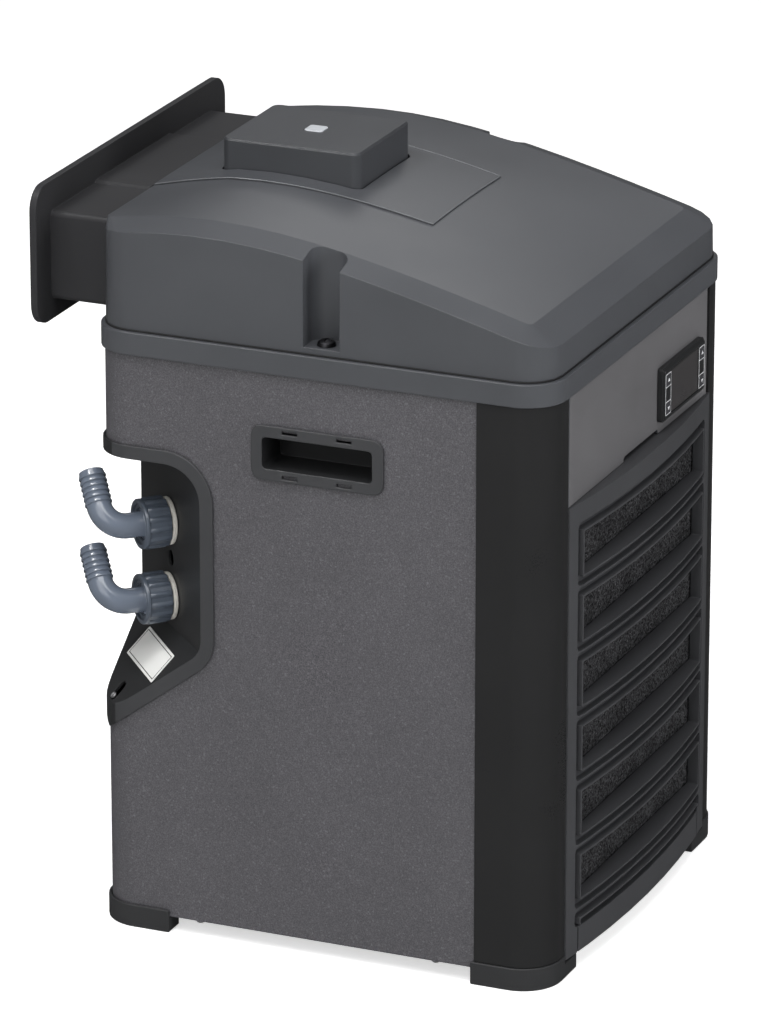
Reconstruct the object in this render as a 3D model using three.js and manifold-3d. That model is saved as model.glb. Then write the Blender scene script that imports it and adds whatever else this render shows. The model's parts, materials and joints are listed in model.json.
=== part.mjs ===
// A small heat pump for aquariums and pools: a floor-standing cabinet with an arched lift-off lid, a front
// intake grille, an exhaust duct at the back and two hose unions in a pocket cut from one back corner.
// Millimetres, +Z up, the front faces -Y. Each mesh is one real piece of the unit.
import * as THREE from "three";
import { mergeVertices } from "three/addons/utils/BufferGeometryUtils.js";
import Module from "manifold-3d";

const wasm = await Module();
wasm.setup();

// ---- Driving dimensions -------------------------------------------------------------------------
const GAP = 0.3; // between pieces that touch
const CABINET = { width: 328, depth: 331, corner: 28 };
const SHEET = { inset: 2.5, thickness: 1.2, bottom: 11, top: 409.7 };
const UPRIGHT = { inset: 1.2, thickness: 3, wideness: 34.5, deepness: 52.6 };
const COLLAR = { bottom: 410, top: 425.8, thickness: 8 };
const FOOT = { leg: 55, height: 16, padHeight: 10.5, padWidth: 17, lip: 2 };
const FASCIA = { bottom: 333.5, left: -129.2, right: 125, front: 1, back: 4 };
const SEAM_FLANGE = { left: 121, right: 129.4, front: 3.5, back: 6.5 };
const LID = { inset: 3.3, thickness: 2.5, bottom: 426.2, draft: 0.5, bevelWidth: 20, bevelDrop: 6 };
const ARCH = { peak: 503, at: 252, drop: 39, reach: 122, dome: 6 };
const PAD = { front: 127, halfFront: 59, halfBack: 66, height: 1.2 };
const MODULE = { half: 44, front: 186.5, back: 287, bottom: 500.3, top: 528.7, corner: 6 };
const POCKET = { front: 150.3, back: 176.3, floor: 431, depth: 24, corner: 9 };
const DUCT = { half: 130, bottom: 429.6, top: 491.4, wall: 2.2, inner: 303, outer: 373 };
const FLANGE = { half: 152, bottom: 415.5, top: 512, corner: 16, rim: 5 };
const RECESS = { reach: 80.5, top: 337, tip: 146, slope: 0.75, plate: 57.2, wall: 2.5, rim: 9.5 };
const GRILLE = { half: 129, bottom: 12.5, top: 333.1, post: 12, bow: 9, back: 4.8 };
const LOUVRE = { first: 312, pitch: 46, height: 30.5, count: 7, railTop: 32, lip: 1.3, proud: 0.9 };
const GROOVE = { width: 5.5, ridgeAt: 319.5, ridge: 1.5, corner: 4, depth: 5 };
const HANDLE = { front: 118, back: 213, bottom: 336, top: 374, corner: 8, rim: 8, depth: 30 };
const CONTROLLER = { x: 69.5, z: 361, width: 78, height: 38, proud: 5, bodyWidth: 70.4, bodyHeight: 28.4 };
const PORT_HEIGHTS = { upper: 282.5, lower: 228.8 };
const UNION = { spigot: 13, bore: 7.5, nut: 17.8, nutStart: 3.8, nutEnd: 22.5, pipe: 8.6, hole: 11.2, ribs: 14 };
const ELBOW = { start: 16.3, corner: 46.8, tail: 41.4, setback: 16.5, bore: 6.6, swivel: 38.5 };
const SEAM = 46; // from a side to the joint between its sheet and the back sheet
const LID_SCREW = { x: 12.5, y: 163.3, head: 6.5, length: 12, hole: 3.4 };
const LID_COLUMNS = 5; // across half of the lid
const COIL = { half: 112, y: 44, reach: 14, bottom: 44, top: 316, fins: 16, fin: 1.4 };
const DRIER = { x: -134, y: 174, z: 200, length: 84 };
const FAN = { z: 178, radius: 92, y: 78 };
const COMPRESSOR = { x: 66, y: 236, radius: 60, bottom: 44, top: 236 };
const EXCHANGER = { along: 125, radius: 42, bottom: 196, top: 316 };

const HALF = CABINET.width / 2;
const BACK = CABINET.depth;
const DEGREE = Math.PI / 180;

// ---- Materials ----------------------------------------------------------------------------------
const material = (color, roughness, metalness = 0) =>
  new THREE.MeshStandardMaterial({ color, roughness, metalness });
const PAINT = {
  sheet: material(0x47484b, 0.75, 0.1),
  body: material(0x45484c, 0.5),
  gloss: material(0x0d0d0e, 0.18),
  black: material(0x191a1c, 0.45),
  grey: material(0x5d6a76, 0.35),
  gasket: material(0xe4e2dc, 0.7),
  foam: material(0x131415, 0.95),
  steel: material(0xb4b6b8, 0.35, 0.9),
  copper: material(0xb86f45, 0.35, 0.9),
  aluminium: material(0xa9acb0, 0.45, 0.8),
  screen: material(0x0c0a0b, 0.15),
  key: material(0x2a2b2e, 0.6),
  light: material(0xc9ccce, 0.3, 0.3),
  rubber: material(0x18181a, 0.85),
  board: material(0x1f5a37, 0.6),
  label: material(0xe9e9e6, 0.6),
};

// ---- Solids -------------------------------------------------------------------------------------
// A closed three.js geometry as a solid that can be joined and cut.
function solid(geometry) {
  const bare = geometry.index ? geometry.toNonIndexed() : geometry.clone();
  bare.deleteAttribute("normal");
  bare.deleteAttribute("uv");
  const merged = mergeVertices(bare, 1e-4);
  return new wasm.Manifold(
    new wasm.Mesh({
      numProp: 3,
      vertProperties: merged.attributes.position.array,
      triVerts: new Uint32Array(merged.index.array),
    }),
  );
}

function geometryOf(body) {
  const surface = body.getMesh();
  return new THREE.BufferGeometry()
    .setAttribute("position", new THREE.BufferAttribute(surface.vertProperties, 3))
    .setIndex(new THREE.BufferAttribute(surface.triVerts, 1));
}

const join = (...bodies) => bodies.reduce((all, body) => all.add(body));
const cut = (body, ...tools) => tools.reduce((left, tool) => left.subtract(tool), body);
const common = (...bodies) => bodies.reduce((all, body) => all.intersect(body));

// A straight prism of a shape drawn in X and Y, from one height to another.
function prism(shape, bottom, top, segments = 4) {
  const options = { depth: top - bottom, bevelEnabled: false, curveSegments: segments };
  return new THREE.ExtrudeGeometry(shape, options).translate(0, 0, bottom);
}

const slab = (shape, bottom, top, segments) => solid(prism(shape, bottom, top, segments));

function block(x0, x1, y0, y1, z0, z1) {
  const box = new THREE.BoxGeometry(x1 - x0, y1 - y0, z1 - z0);
  return solid(box.translate((x0 + x1) / 2, (y0 + y1) / 2, (z0 + z1) / 2));
}

// A body of revolution about Z through x, y; its profile is a list of [radius, z] that starts and ends at 0
// or closes on itself.
function turned(profile, segments = 24, x = 0, y = 0) {
  const points = profile.map(([radius, z]) => new THREE.Vector2(radius, z));
  return solid(new THREE.LatheGeometry(points, segments).rotateX(Math.PI / 2).translate(x, y, 0));
}

const cylinder = (radius, bottom, top, x = 0, y = 0, segments = 20) =>
  turned([[0, bottom], [radius, bottom], [radius, top], [0, top]], segments, x, y);

const sleeve = (inner, outer, bottom, top, segments = 24) =>
  turned([[inner, bottom], [outer, bottom], [outer, top], [inner, top], [inner, bottom]], segments);

function rectangle(x0, x1, y0, y1, radius) {
  const shape = new THREE.Shape();
  shape.moveTo(x0 + radius, y0);
  shape.lineTo(x1 - radius, y0);
  if (radius) shape.absarc(x1 - radius, y0 + radius, radius, -Math.PI / 2, 0);
  shape.lineTo(x1, y1 - radius);
  if (radius) shape.absarc(x1 - radius, y1 - radius, radius, 0, Math.PI / 2);
  shape.lineTo(x0 + radius, y1);
  if (radius) shape.absarc(x0 + radius, y1 - radius, radius, Math.PI / 2, Math.PI);
  shape.lineTo(x0, y0 + radius);
  if (radius) shape.absarc(x0 + radius, y0 + radius, radius, Math.PI, 1.5 * Math.PI);
  return shape;
}

function polygon(points) {
  return new THREE.Shape(points.map(([x, y]) => new THREE.Vector2(x, y)));
}

function circle(radius, x = 0, y = 0) {
  const shape = new THREE.Shape();
  shape.absarc(x, y, radius, 0, 2 * Math.PI);
  return shape;
}

// The same solid with its local X, Y and Z turned to the given directions and moved to a point.
function turnedTo(body, xAxis, yAxis, origin = [0, 0, 0]) {
  const x = new THREE.Vector3(...xAxis).normalize();
  const y = new THREE.Vector3(...yAxis).normalize();
  const frame = new THREE.Matrix4().makeBasis(x, y, x.clone().cross(y));
  return solid(geometryOf(body).applyMatrix4(frame.setPosition(...origin)));
}

const moved = (body, x, y, z) => solid(geometryOf(body).translate(x, y, z));
const mirrored = (body) => body.mirror([1, 0, 0]);

// A prism drawn in X and Z, running from y0 back to y1.
const across = (shape, y0, y1, segments) =>
  turnedTo(slab(shape, -y1, -y0, segments), [1, 0, 0], [0, 0, 1]);

// A prism drawn in Y and Z, running from x0 to x1.
const sideways = (shape, x0, x1, segments) =>
  turnedTo(slab(shape, x0, x1, segments), [0, 1, 0], [0, 0, 1]);

// A round bar or pipe that runs along a curve.
function pipe(points, radius, steps) {
  const places = points.map((place) => new THREE.Vector3(...place));
  const extrudePath = new THREE.CatmullRomCurve3(places, false, "catmullrom", 0.5);
  return solid(new THREE.ExtrudeGeometry(circle(radius), { steps, curveSegments: 4, extrudePath }));
}

// ---- The cabinet's outline ----------------------------------------------------------------------
// The outline seen from above, drawn in by an inset on every side.
function plan(inset) {
  const radius = CABINET.corner - inset;
  return rectangle(-HALF + inset, HALF - inset, inset, BACK - inset, radius);
}

const shell = (outer, inner, bottom, top) =>
  cut(slab(plan(outer), bottom, top, 5), slab(plan(inner), bottom - 1, top + 1, 5));

// ---- Hose recess --------------------------------------------------------------------------------
// The pocket's outline on either face, in distance from the back-left corner and height, grown by a margin.
function recessOutline(margin) {
  const { reach, top, tip, slope } = RECESS;
  const steep = Math.hypot(1, slope);
  const edge = reach + margin;
  const lowAt = (distance) => tip - margin * steep + slope * distance;
  const upper = 26 + margin;
  const lower = 20 + margin;
  const beyond = -14;
  const shape = new THREE.Shape();
  shape.moveTo(beyond, lowAt(beyond));
  shape.lineTo(0, lowAt(0));
  shape.absarc(edge - lower, lowAt(edge - lower) + lower * steep, lower, -Math.atan2(1, slope), 0);
  shape.absarc(edge - upper, top + margin - upper, upper, 0, Math.PI / 2);
  shape.lineTo(beyond, top + margin);
  return shape;
}

// What lies inside the outline seen from the side and inside it seen from the back.
function recessPrism(margin) {
  const body = slab(recessOutline(margin), 0, 120, 6);
  const fromSide = turnedTo(body, [0, -1, 0], [0, 0, 1], [-HALF + 110, BACK, 0]);
  const fromBack = turnedTo(body, [1, 0, 0], [0, 0, 1], [-HALF, BACK + 10, 0]);
  return common(fromSide, fromBack);
}

// Turns a solid drawn with X inward along the corner's diagonal, Y upward and Z across the plate.
const onDiagonal = (body) => turnedTo(body, [1, -1, 0], [0, 0, 1], [-HALF, BACK, 0]);

// The room in front of the upright plate and above the sloping floor.
function recessRoom(margin) {
  const fall = RECESS.slope * Math.SQRT2;
  const low = RECESS.tip - margin * Math.hypot(1, fall);
  const end = RECESS.plate + margin;
  const high = RECESS.top + margin;
  const side = polygon([[-30, low - 30 * fall], [end, low + end * fall], [end, high], [-30, high]]);
  return onDiagonal(slab(side, -130, 130));
}

function hoseRecess() {
  const room = common(recessRoom(0), recessPrism(0));
  const lining = common(
    recessRoom(RECESS.wall), recessPrism(RECESS.wall), slab(plan(GAP), 100, 380, 5),
  );
  const rim = common(shell(GAP, SHEET.inset - GAP, 100, 380), recessPrism(RECESS.rim));
  const holes = Object.values(PORT_HEIGHTS).map((z) => alongPort(cylinder(UNION.spigot + 0.4, -9, 9), z));
  const drain = alongPort(cylinder(5.5, -9, 9), (PORT_HEIGHTS.upper + PORT_HEIGHTS.lower) / 2);
  const slot = onFloor(slab(rectangle(-7.5, 7.5, -3.8, 3.8, 3.7), -9, 9), 18.5);
  return cut(join(lining, rim), room, ...holes, drain, slot);
}

// Turns a solid drawn about Z so that it points out of the plate at a height; z = 0 is the plate's face.
function alongPort(body, height) {
  const foot = RECESS.plate / Math.SQRT2;
  return turnedTo(body, [-1, -1, 0], [0, 0, 1], [-HALF + foot, BACK - foot, height]);
}

// Turns a solid drawn with X up the sloping floor so that it lies there, at a distance from the corner.
function onFloor(body, distance, aside = 0) {
  const fall = RECESS.slope * Math.SQRT2;
  const flat = distance / Math.SQRT2;
  const shift = aside / Math.SQRT2;
  const origin = [-HALF + flat - shift, BACK - flat - shift, RECESS.tip + fall * distance];
  return turnedTo(body, [1, -1, fall * Math.SQRT2], [1, 1, 0], origin);
}

// ---- Casing -------------------------------------------------------------------------------------
function baseTray() {
  const outline = rectangle(-HALF + 6, HALF - 6, 24, BACK - 6, 20);
  const hollow = rectangle(-HALF + 8, HALF - 8, 26, BACK - 8, 18);
  const [drainBore, drainY] = [4, 300];
  const drain = moved(sleeve(drainBore, 7, 9, 18, 20), 0, drainY, 0);
  const hole = cylinder(drainBore, 0, 40, 0, drainY);
  return join(cut(slab(outline, 13, 34, 2), slab(hollow, 15, 40, 2), hole), drain);
}

// One corner cap foot, drawn for the front left corner.
function foot() {
  const corner = block(-HALF - 1, -HALF + FOOT.leg, -1, FOOT.leg, 0, FOOT.height);
  const pad = shell(0, FOOT.padWidth, 0, FOOT.padHeight);
  const lip = shell(0, FOOT.lip, 0, FOOT.height);
  return common(join(pad, lip), corner);
}

// At the front the lip stops short of the grille, so that the grille can tilt.
function frontFoot() {
  return cut(foot(), block(-HALF + UPRIGHT.wideness, 0, -1, FOOT.lip + 1, FOOT.padHeight, 40));
}

// The same solid turned end for end about the cabinet's middle.
const atBack = (body) => mirrored(solid(geometryOf(body).rotateZ(Math.PI).translate(0, BACK, 0)));

function upright() {
  const { inset, thickness, wideness, deepness } = UPRIGHT;
  const bottom = FOOT.padHeight + GAP;
  const wall = shell(inset, inset + thickness, bottom, SHEET.top);
  const corner = block(-HALF, -HALF + wideness, 0, deepness, 0, 500);
  const edge = -HALF + wideness - 0.2;
  const frontReturn = block(edge - thickness, edge, inset + 1, 17, bottom + 6, SHEET.top - 0.2);
  const lips = shell(-1, FOOT.lip + GAP, 0, FOOT.height + GAP);
  return cut(join(common(wall, corner), frontReturn), lips);
}

// The left-hand sheet: the side and the back corner, with a turned-in bottom flange.
function sidePanel(isLeft) {
  const { inset, thickness, bottom, top } = SHEET;
  const region = block(-HALF, -HALF + SEAM, UPRIGHT.deepness + GAP, BACK, 0, 500);
  const wall = common(shell(inset, inset + thickness, bottom, top), region);
  const flange = block(-HALF + inset + 0.2, -HALF + 16, 62, BACK - 62, bottom, bottom + thickness);
  const handleHole = sideways(handleOutline(-HANDLE.rim / 2, 4), -HALF - 1, -HALF + 10, 2);
  const panel = cut(join(wall, flange), handleHole);
  return isLeft ? cut(panel, recessPrism(RECESS.rim - 1.5)) : mirrored(panel);
}

function backPanel() {
  const { inset, thickness, bottom, top } = SHEET;
  const seam = HALF - SEAM - GAP;
  const sheet = block(-seam, seam, BACK - inset - thickness, BACK - inset, bottom, top);
  const slots = [...Array(6).keys()].map((i) => {
    const x = -10 + 18 * i;
    return across(rectangle(x - 2, x + 2, 250, 330, 1.9), BACK - 10, BACK + 10, 2);
  });
  const socket = moved(across(rectangle(-14.2, 14.2, -10.4, 10.4, 2), BACK - 10, BACK), INLET.x, 0, INLET.z);
  return cut(sheet, recessPrism(RECESS.rim - 1.5), socket, ...slots);
}

const INLET = { x: 86, z: 62 };

// The mains inlet: a flanged socket with three pins.
function mainsInlet() {
  const face = BACK - SHEET.inset + GAP;
  const flange = across(rectangle(-24, 24, -11.5, 11.5, 4), face, face + 2.2, 3);
  const body = across(rectangle(-13.8, 13.8, -10, 10, 2), face - 22, face + 1, 2);
  const well = across(rectangle(-12, 12, -8, 8, 2), face - 17, face + 5, 2);
  const pinAt = (x, z) => block(x - 1, x + 1, face - 20, face - 2, z - 2, z + 2);
  const pins = [pinAt(-7, -1.5), pinAt(0, 2.5), pinAt(7, -1.5)];
  return moved(join(cut(join(flange, body), well), ...pins), INLET.x, 0, INLET.z);
}

// The moulded collar under the lid, in one piece with the fascia that carries the controller.
function collar() {
  const ring = shell(0, COLLAR.thickness, COLLAR.bottom, COLLAR.top);
  const { left, right, front, back, bottom } = FASCIA;
  const plate = block(left, right, front, back, bottom, COLLAR.bottom + 5);
  const notch = across(rectangle(-30, 33, bottom - 6, bottom + 3, 2.5), -1, 9);
  // A set-back flange closes the seam between the plate and the right upright.
  const seam = SEAM_FLANGE;
  const flange = block(seam.left, seam.right, seam.front, seam.back, bottom, COLLAR.bottom + 5);
  const { x, z, bodyWidth, bodyHeight } = CONTROLLER;
  const halfWidth = bodyWidth / 2 + GAP;
  const halfHeight = bodyHeight / 2 + GAP;
  const window = block(x - halfWidth, x + halfWidth, -1, 9, z - halfHeight, z + halfHeight);
  return cut(join(ring, plate, flange), notch, window);
}

// The handle's outline in Y and Z, grown by a margin.
function handleOutline(margin, radius) {
  const { front, back, bottom, top } = HANDLE;
  return rectangle(front - margin, back + margin, bottom - margin, top + margin, radius);
}

// A moulded handle frame with its finger pocket, drawn for the left side.
function handle() {
  const { front, back, bottom, top, corner, rim, depth } = HANDLE;
  const face = -HALF + SHEET.inset - GAP;
  const wall = 2;
  const frame = sideways(handleOutline(0, corner), face - 2, face);
  const lining = sideways(handleOutline(wall - rim, 4), face - 1, face + depth, 2);
  const well = sideways(handleOutline(-rim, 3), face - 5, face + depth - wall, 2);
  const slots = [];
  for (const y of [front + 28, back - 28])
    for (const z of [bottom + 3.4, top - 3.4])
      slots.push(block(face - 5, face + 5, y - 5.5, y + 5.5, z - 1.3, z + 1.3));
  return cut(join(frame, lining), well, ...slots);
}

// ---- Lid ----------------------------------------------------------------------------------------
// The height of the lid's arch at a distance from the front.
function archAt(y) {
  const { peak, at, drop, reach } = ARCH;
  return peak - drop * (Math.hypot(1, (at - y) / reach) - 1);
}


// Half of a ring round the lid, from the middle of the front to the middle of the back.
function lidRing(inset, backInset, radius) {
  const side = HALF - inset;
  const rear = BACK - backInset;
  const points = [];
  for (let i = 0; i < LID_COLUMNS; i++) points.push([((side - radius) * i) / LID_COLUMNS, inset]);
  const arc = 4;
  for (let i = 0; i <= arc; i++) {
    const angle = (i / arc) * (Math.PI / 2);
    points.push([side - radius + radius * Math.sin(angle), inset + radius - radius * Math.cos(angle)]);
  }
  const rows = 12;
  const span = rear - inset - 2 * radius;
  for (let i = 1; i < rows; i++) points.push([side, inset + radius + (span * i) / rows]);
  for (let i = 0; i <= arc; i++) {
    const angle = (i / arc) * (Math.PI / 2);
    points.push([side - radius + radius * Math.cos(angle), rear - radius + radius * Math.sin(angle)]);
  }
  for (let i = LID_COLUMNS - 1; i >= 0; i--) points.push([((side - radius) * i) / LID_COLUMNS, rear]);
  return points;
}

// A solid of the lid's outer shape, shrunk by a margin and lowered by it.
function lidBlock(margin, lift = 0) {
  const { inset, draft, bevelWidth, bevelDrop, bottom } = LID;
  const radius = CABINET.corner - inset - margin;
  const wall = inset + margin;
  const top = wall + draft;
  const crown = top + bevelWidth;
  const drop = margin - lift;
  const rings = [
    lidRing(wall, wall, radius).map(([x, y]) => [x, y, bottom - margin]),
    lidRing(top, top, radius - draft).map(([x, y]) => [x, y, archAt(y) - bevelDrop - drop]),
    lidRing(crown, top, 4).map(([x, y]) => [x, y, archAt(y) - drop]),
  ];
  return solid(domed(rings, top + bevelWidth));
}

// A closed geometry from half rings: walls between them, a flat floor and a domed crown.
function domed(rings, crownInset) {
  const vertices = [];
  const faces = [];
  const add = (x, y, z) => vertices.push(x, y, z) / 3 - 1;
  const count = rings[0].length;
  const loops = rings.map((ring) => {
    const right = ring.map(([x, y, z]) => add(x, y, z));
    const left = ring.map(([x, y, z], i) => (x === 0 ? right[i] : add(-x, y, z)));
    return { right, left };
  });
  const quad = (a, b, c, d) => faces.push(a, b, c, a, c, d);
  for (let level = 0; level + 1 < loops.length; level++)
    for (let i = 0; i + 1 < count; i++) {
      const [low, high] = [loops[level], loops[level + 1]];
      quad(low.right[i], low.right[i + 1], high.right[i + 1], high.right[i]);
      quad(low.left[i + 1], low.left[i], high.left[i], high.left[i + 1]);
    }
  const cap = ({ right, left }, ring, dome, up) => {
    const rows = [];
    for (let i = LID_COLUMNS; i < count - LID_COLUMNS; i++) {
      const [x, y, z] = ring[i];
      const row = [right[i]];
      for (let k = 1; k < 2 * LID_COLUMNS; k++) {
        const isFront = i === LID_COLUMNS;
        const isBack = i === count - LID_COLUMNS - 1;
        const at = k <= LID_COLUMNS ? LID_COLUMNS - k : k - LID_COLUMNS;
        const half = k <= LID_COLUMNS ? right : left;
        if (isFront) row.push(half[at]);
        else if (isBack) row.push(half[count - 1 - at]);
        else {
          const share = 1 - k / LID_COLUMNS;
          row.push(add(x * share, y, z + dome(share, y)));
        }
      }
      row.push(left[i]);
      rows.push(row);
    }
    for (let i = 0; i + 1 < rows.length; i++)
      for (let k = 0; k < 2 * LID_COLUMNS; k++) {
        const corners = [rows[i][k], rows[i + 1][k], rows[i + 1][k + 1], rows[i][k + 1]];
        if (up) quad(...corners);
        else quad(...corners.reverse());
      }
  };
  const swell = (y) => Math.min(1, (y - crownInset) / 90) * Math.min(1, (BACK - y) / 60);
  const dome = (share, y) => ARCH.dome * (1 - share * share) * Math.max(0, swell(y));
  cap(loops[loops.length - 1], rings[rings.length - 1], dome, true);
  cap(loops[0], rings[0], () => 0, false);
  const geometry = new THREE.BufferGeometry();
  geometry.setAttribute("position", new THREE.BufferAttribute(new Float32Array(vertices), 3));
  return geometry.setIndex(faces);
}

function moduleOutline(margin) {
  const { half, front, back, corner } = MODULE;
  return rectangle(-half - margin, half + margin, front - margin, back + margin, corner + margin);
}

function pocketOutline(margin) {
  const { front, back, depth, corner } = POCKET;
  return rectangle(-HALF - 40, -HALF + depth + margin, front - margin, back + margin, corner + margin);
}

function lid() {
  const outer = lidBlock(0);
  const { front, halfFront, halfBack } = PAD;
  const padEnd = BACK - 4.5;
  const corners = [[-halfFront, front], [halfFront, front], [halfBack, padEnd], [-halfBack, padEnd]];
  const pad = common(lidBlock(0, PAD.height), slab(polygon(corners), 470, 540));
  const skin = join(cut(outer, lidBlock(LID.thickness)), cut(pad, lidBlock(LID.thickness)));
  const wellWall = common(slab(moduleOutline(3.4), MODULE.bottom - 2.5, 540), join(outer, pad));
  const pocketWall = slab(pocketOutline(2.2), LID.bottom, 540);
  const pocketWalls = common(join(pocketWall, mirrored(pocketWall)), outer);
  const well = slab(moduleOutline(1.4), MODULE.bottom - GAP, 560);
  const pocket = slab(pocketOutline(0), POCKET.floor, 560);
  const { half, bottom, top } = DUCT;
  const mouth = across(rectangle(-half - GAP, half + GAP, bottom - GAP, top + GAP, 4), 310, 340);
  const screwHole = cylinder(LID_SCREW.hole, 400, 440, -HALF + LID_SCREW.x, LID_SCREW.y, 12);
  const holes = [well, mouth, pocket, mirrored(pocket), screwHole, mirrored(screwHole)];
  return cut(join(skin, wellWall, pocketWalls), ...holes);
}

// The plug-in control module on the lid: a cover over a base, with a round hole for its button.
function moduleCover() {
  const { bottom, top } = MODULE;
  const edge = 1.2;
  const low = slab(moduleOutline(0), bottom, top - edge, 3);
  const step = (inset) => slab(moduleOutline(-inset), top - edge - 1, top - edge + inset * edge, 3);
  const steps = [step(0.5), step(1)];
  const hollow = slab(moduleOutline(-2), bottom + 2, top - 3.4, 2);
  const button = slab(buttonOutline(GAP), top - 20, top + 5);
  const vent = slab(rectangle(-30, 30, MODULE.front + 10, MODULE.front + 30, 2), bottom - 1, bottom + 10);
  return cut(join(low, ...steps), hollow, button, vent);
}

function buttonOutline(margin) {
  const middle = (MODULE.front + MODULE.back) / 2;
  const half = 6.6 + margin;
  return rectangle(-half, half, middle - half, middle + half, 2.2);
}

function moduleButton() {
  const { top } = MODULE;
  const cap = slab(buttonOutline(0), top - 6, top + 0.6, 4);
  const stop = slab(buttonOutline(1.4), top - 7.4, top - 5.9, 4);
  return join(cap, stop);
}

// ---- Exhaust duct -------------------------------------------------------------------------------
function flangeOutline(margin) {
  const { half, bottom, top, corner } = FLANGE;
  return rectangle(-half - margin, half + margin, bottom - margin, top + margin, corner + margin);
}

function exhaustDuct() {
  const { half, bottom, top, wall, inner, outer } = DUCT;
  const tube = across(rectangle(-half, half, bottom, top, 4), inner, outer + 2);
  const raisedOutline = polygon([[-63, top - 1], [-59, top + 2], [59, top + 2], [63, top - 1]]);
  const raised = across(raisedOutline, 332, outer);
  const plate = across(flangeOutline(0), outer, outer + FLANGE.rim);
  const dish = across(flangeOutline(-2.4), outer + 2.6, outer + 20);
  const boreOutline = rectangle(-half + wall, half - wall, bottom + wall, top - wall, 3);
  const bore = across(boreOutline, inner - 5, outer + 20);
  const vaneAt = (x) => block(x - 0.9, x + 0.9, outer - 38, outer + 2, bottom + 1, top - 1);
  const vanes = [-1, 0, 1].map((i) => vaneAt((half / 2) * i));
  return join(cut(join(tube, raised, cut(plate, dish)), bore), ...vanes);
}

// ---- Front grille -------------------------------------------------------------------------------
// The block behind the bowed face: its front follows the bow, set back by a depth, and its back is flat.
function bowed(depth, back) {
  const { half, bow, bottom, top } = GRILLE;
  const shape = new THREE.Shape();
  shape.moveTo(-half, back);
  const steps = 8;
  for (let i = 0; i <= steps; i++) {
    const x = -half + (2 * half * i) / steps;
    shape.lineTo(x, depth - bow * (1 - (x / half) ** 2));
  }
  shape.lineTo(half, back);
  return slab(shape, bottom, top);
}

// The air openings run through the frame. Each has a thin lip round it that stands in a wide groove, and
// only a narrow ridge is left between the grooves. The lowest opening ends at the plain bottom rail.
function frontGrille() {
  const { half, post, back } = GRILLE;
  const { first, pitch, height, count, railTop, lip, proud } = LOUVRE;
  const { width, ridgeAt, ridge, corner, depth } = GROOVE;
  const side = half - post;
  const inner = side - width - lip;
  const tunnel = (reach, low, high, radius) =>
    across(rectangle(-reach, reach, low, high, radius), -30, 40, 1);
  const rows = [...Array(count).keys()].map((i) => i * pitch);
  const openings = (margin) =>
    join(...rows.map((drop) => {
      const low = Math.max(first - height - drop, railTop);
      return tunnel(inner + margin, low - margin, first - drop + margin, 1);
    }));
  const channels = join(...rows.map((drop) => {
    const low = Math.max(ridgeAt - pitch + ridge / 2 - drop, railTop - lip);
    return tunnel(side, low, ridgeAt - ridge / 2 - drop, corner);
  }));
  const slits = [-1, 1].map((way) => {
    const x = way * (inner + lip + 0.8);
    return block(x - 0.8, x + 0.8, -30, depth - 1, 0, railTop);
  });
  const face = cut(bowed(0, back), cut(channels, bowed(depth, 60)), ...slits);
  const lips = common(bowed(-proud, back), cut(openings(lip), block(-half, half, -30, 40, 0, railTop)));
  return cut(join(face, lips), openings(0));
}

function filterMat() {
  return block(-118, 118, GRILLE.back + GAP, GRILLE.back + 6, 26, 326);
}

// ---- Hose unions --------------------------------------------------------------------------------
function spigot() {
  const { spigot: outer, bore } = UNION;
  return sleeve(bore, outer, -22, ELBOW.start - GAP, 24);
}

const portGasket = () => sleeve(UNION.spigot + GAP, 16.5, GAP, UNION.nutStart - GAP, 24);

function unionNut() {
  const { nut, nutStart, nutEnd, ribs, hole } = UNION;
  const outline = new THREE.Shape();
  const step = (2 * Math.PI) / ribs;
  for (let i = 0; i < ribs; i++)
    for (const [turn, radius] of [[-0.3, nut], [0.3, nut], [0.42, nut - 1], [0.58, nut - 1]]) {
      const point = [radius * Math.cos((i + turn) * step), radius * Math.sin((i + turn) * step)];
      outline[i || turn > -0.3 ? "lineTo" : "moveTo"](...point);
    }
  const grip = slab(outline, nutStart, nutEnd - 2.5);
  const edge = nutEnd - 0.8;
  const profile = [[0, nutEnd - 3], [nut, nutEnd - 3], [nut, edge], [nut - 0.9, nutEnd], [0, nutEnd]];
  const collarRing = turned(profile, 20);
  const thread = cylinder(UNION.spigot + 0.4, nutStart - 1, nutEnd - 2.5);
  return cut(join(grip, collarRing), thread, cylinder(hole, 0, nutEnd + 5));
}

// A round bar bent by a right angle, drawn with Z along its straight end and the tail rising along Y; the
// tail is drawn about Z with its tip at 0.
function bent(radius, from, tailAbout, sides) {
  const { corner, tail, setback } = ELBOW;
  const knee = new THREE.QuadraticBezierCurve3(
    new THREE.Vector3(0, 0, corner - setback),
    new THREE.Vector3(0, 0, corner),
    new THREE.Vector3(0, setback, corner),
  );
  const options = { steps: 7, curveSegments: sides / 2, extrudePath: knee };
  const straight = cylinder(radius, from, corner - setback + 0.05, 0, 0, sides);
  const end = turnedTo(tailAbout(tail - setback + 0.05), [1, 0, 0], [0, 0, -1], [0, tail, corner]);
  return join(straight, solid(new THREE.ExtrudeGeometry(circle(radius), options)), end);
}

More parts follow.
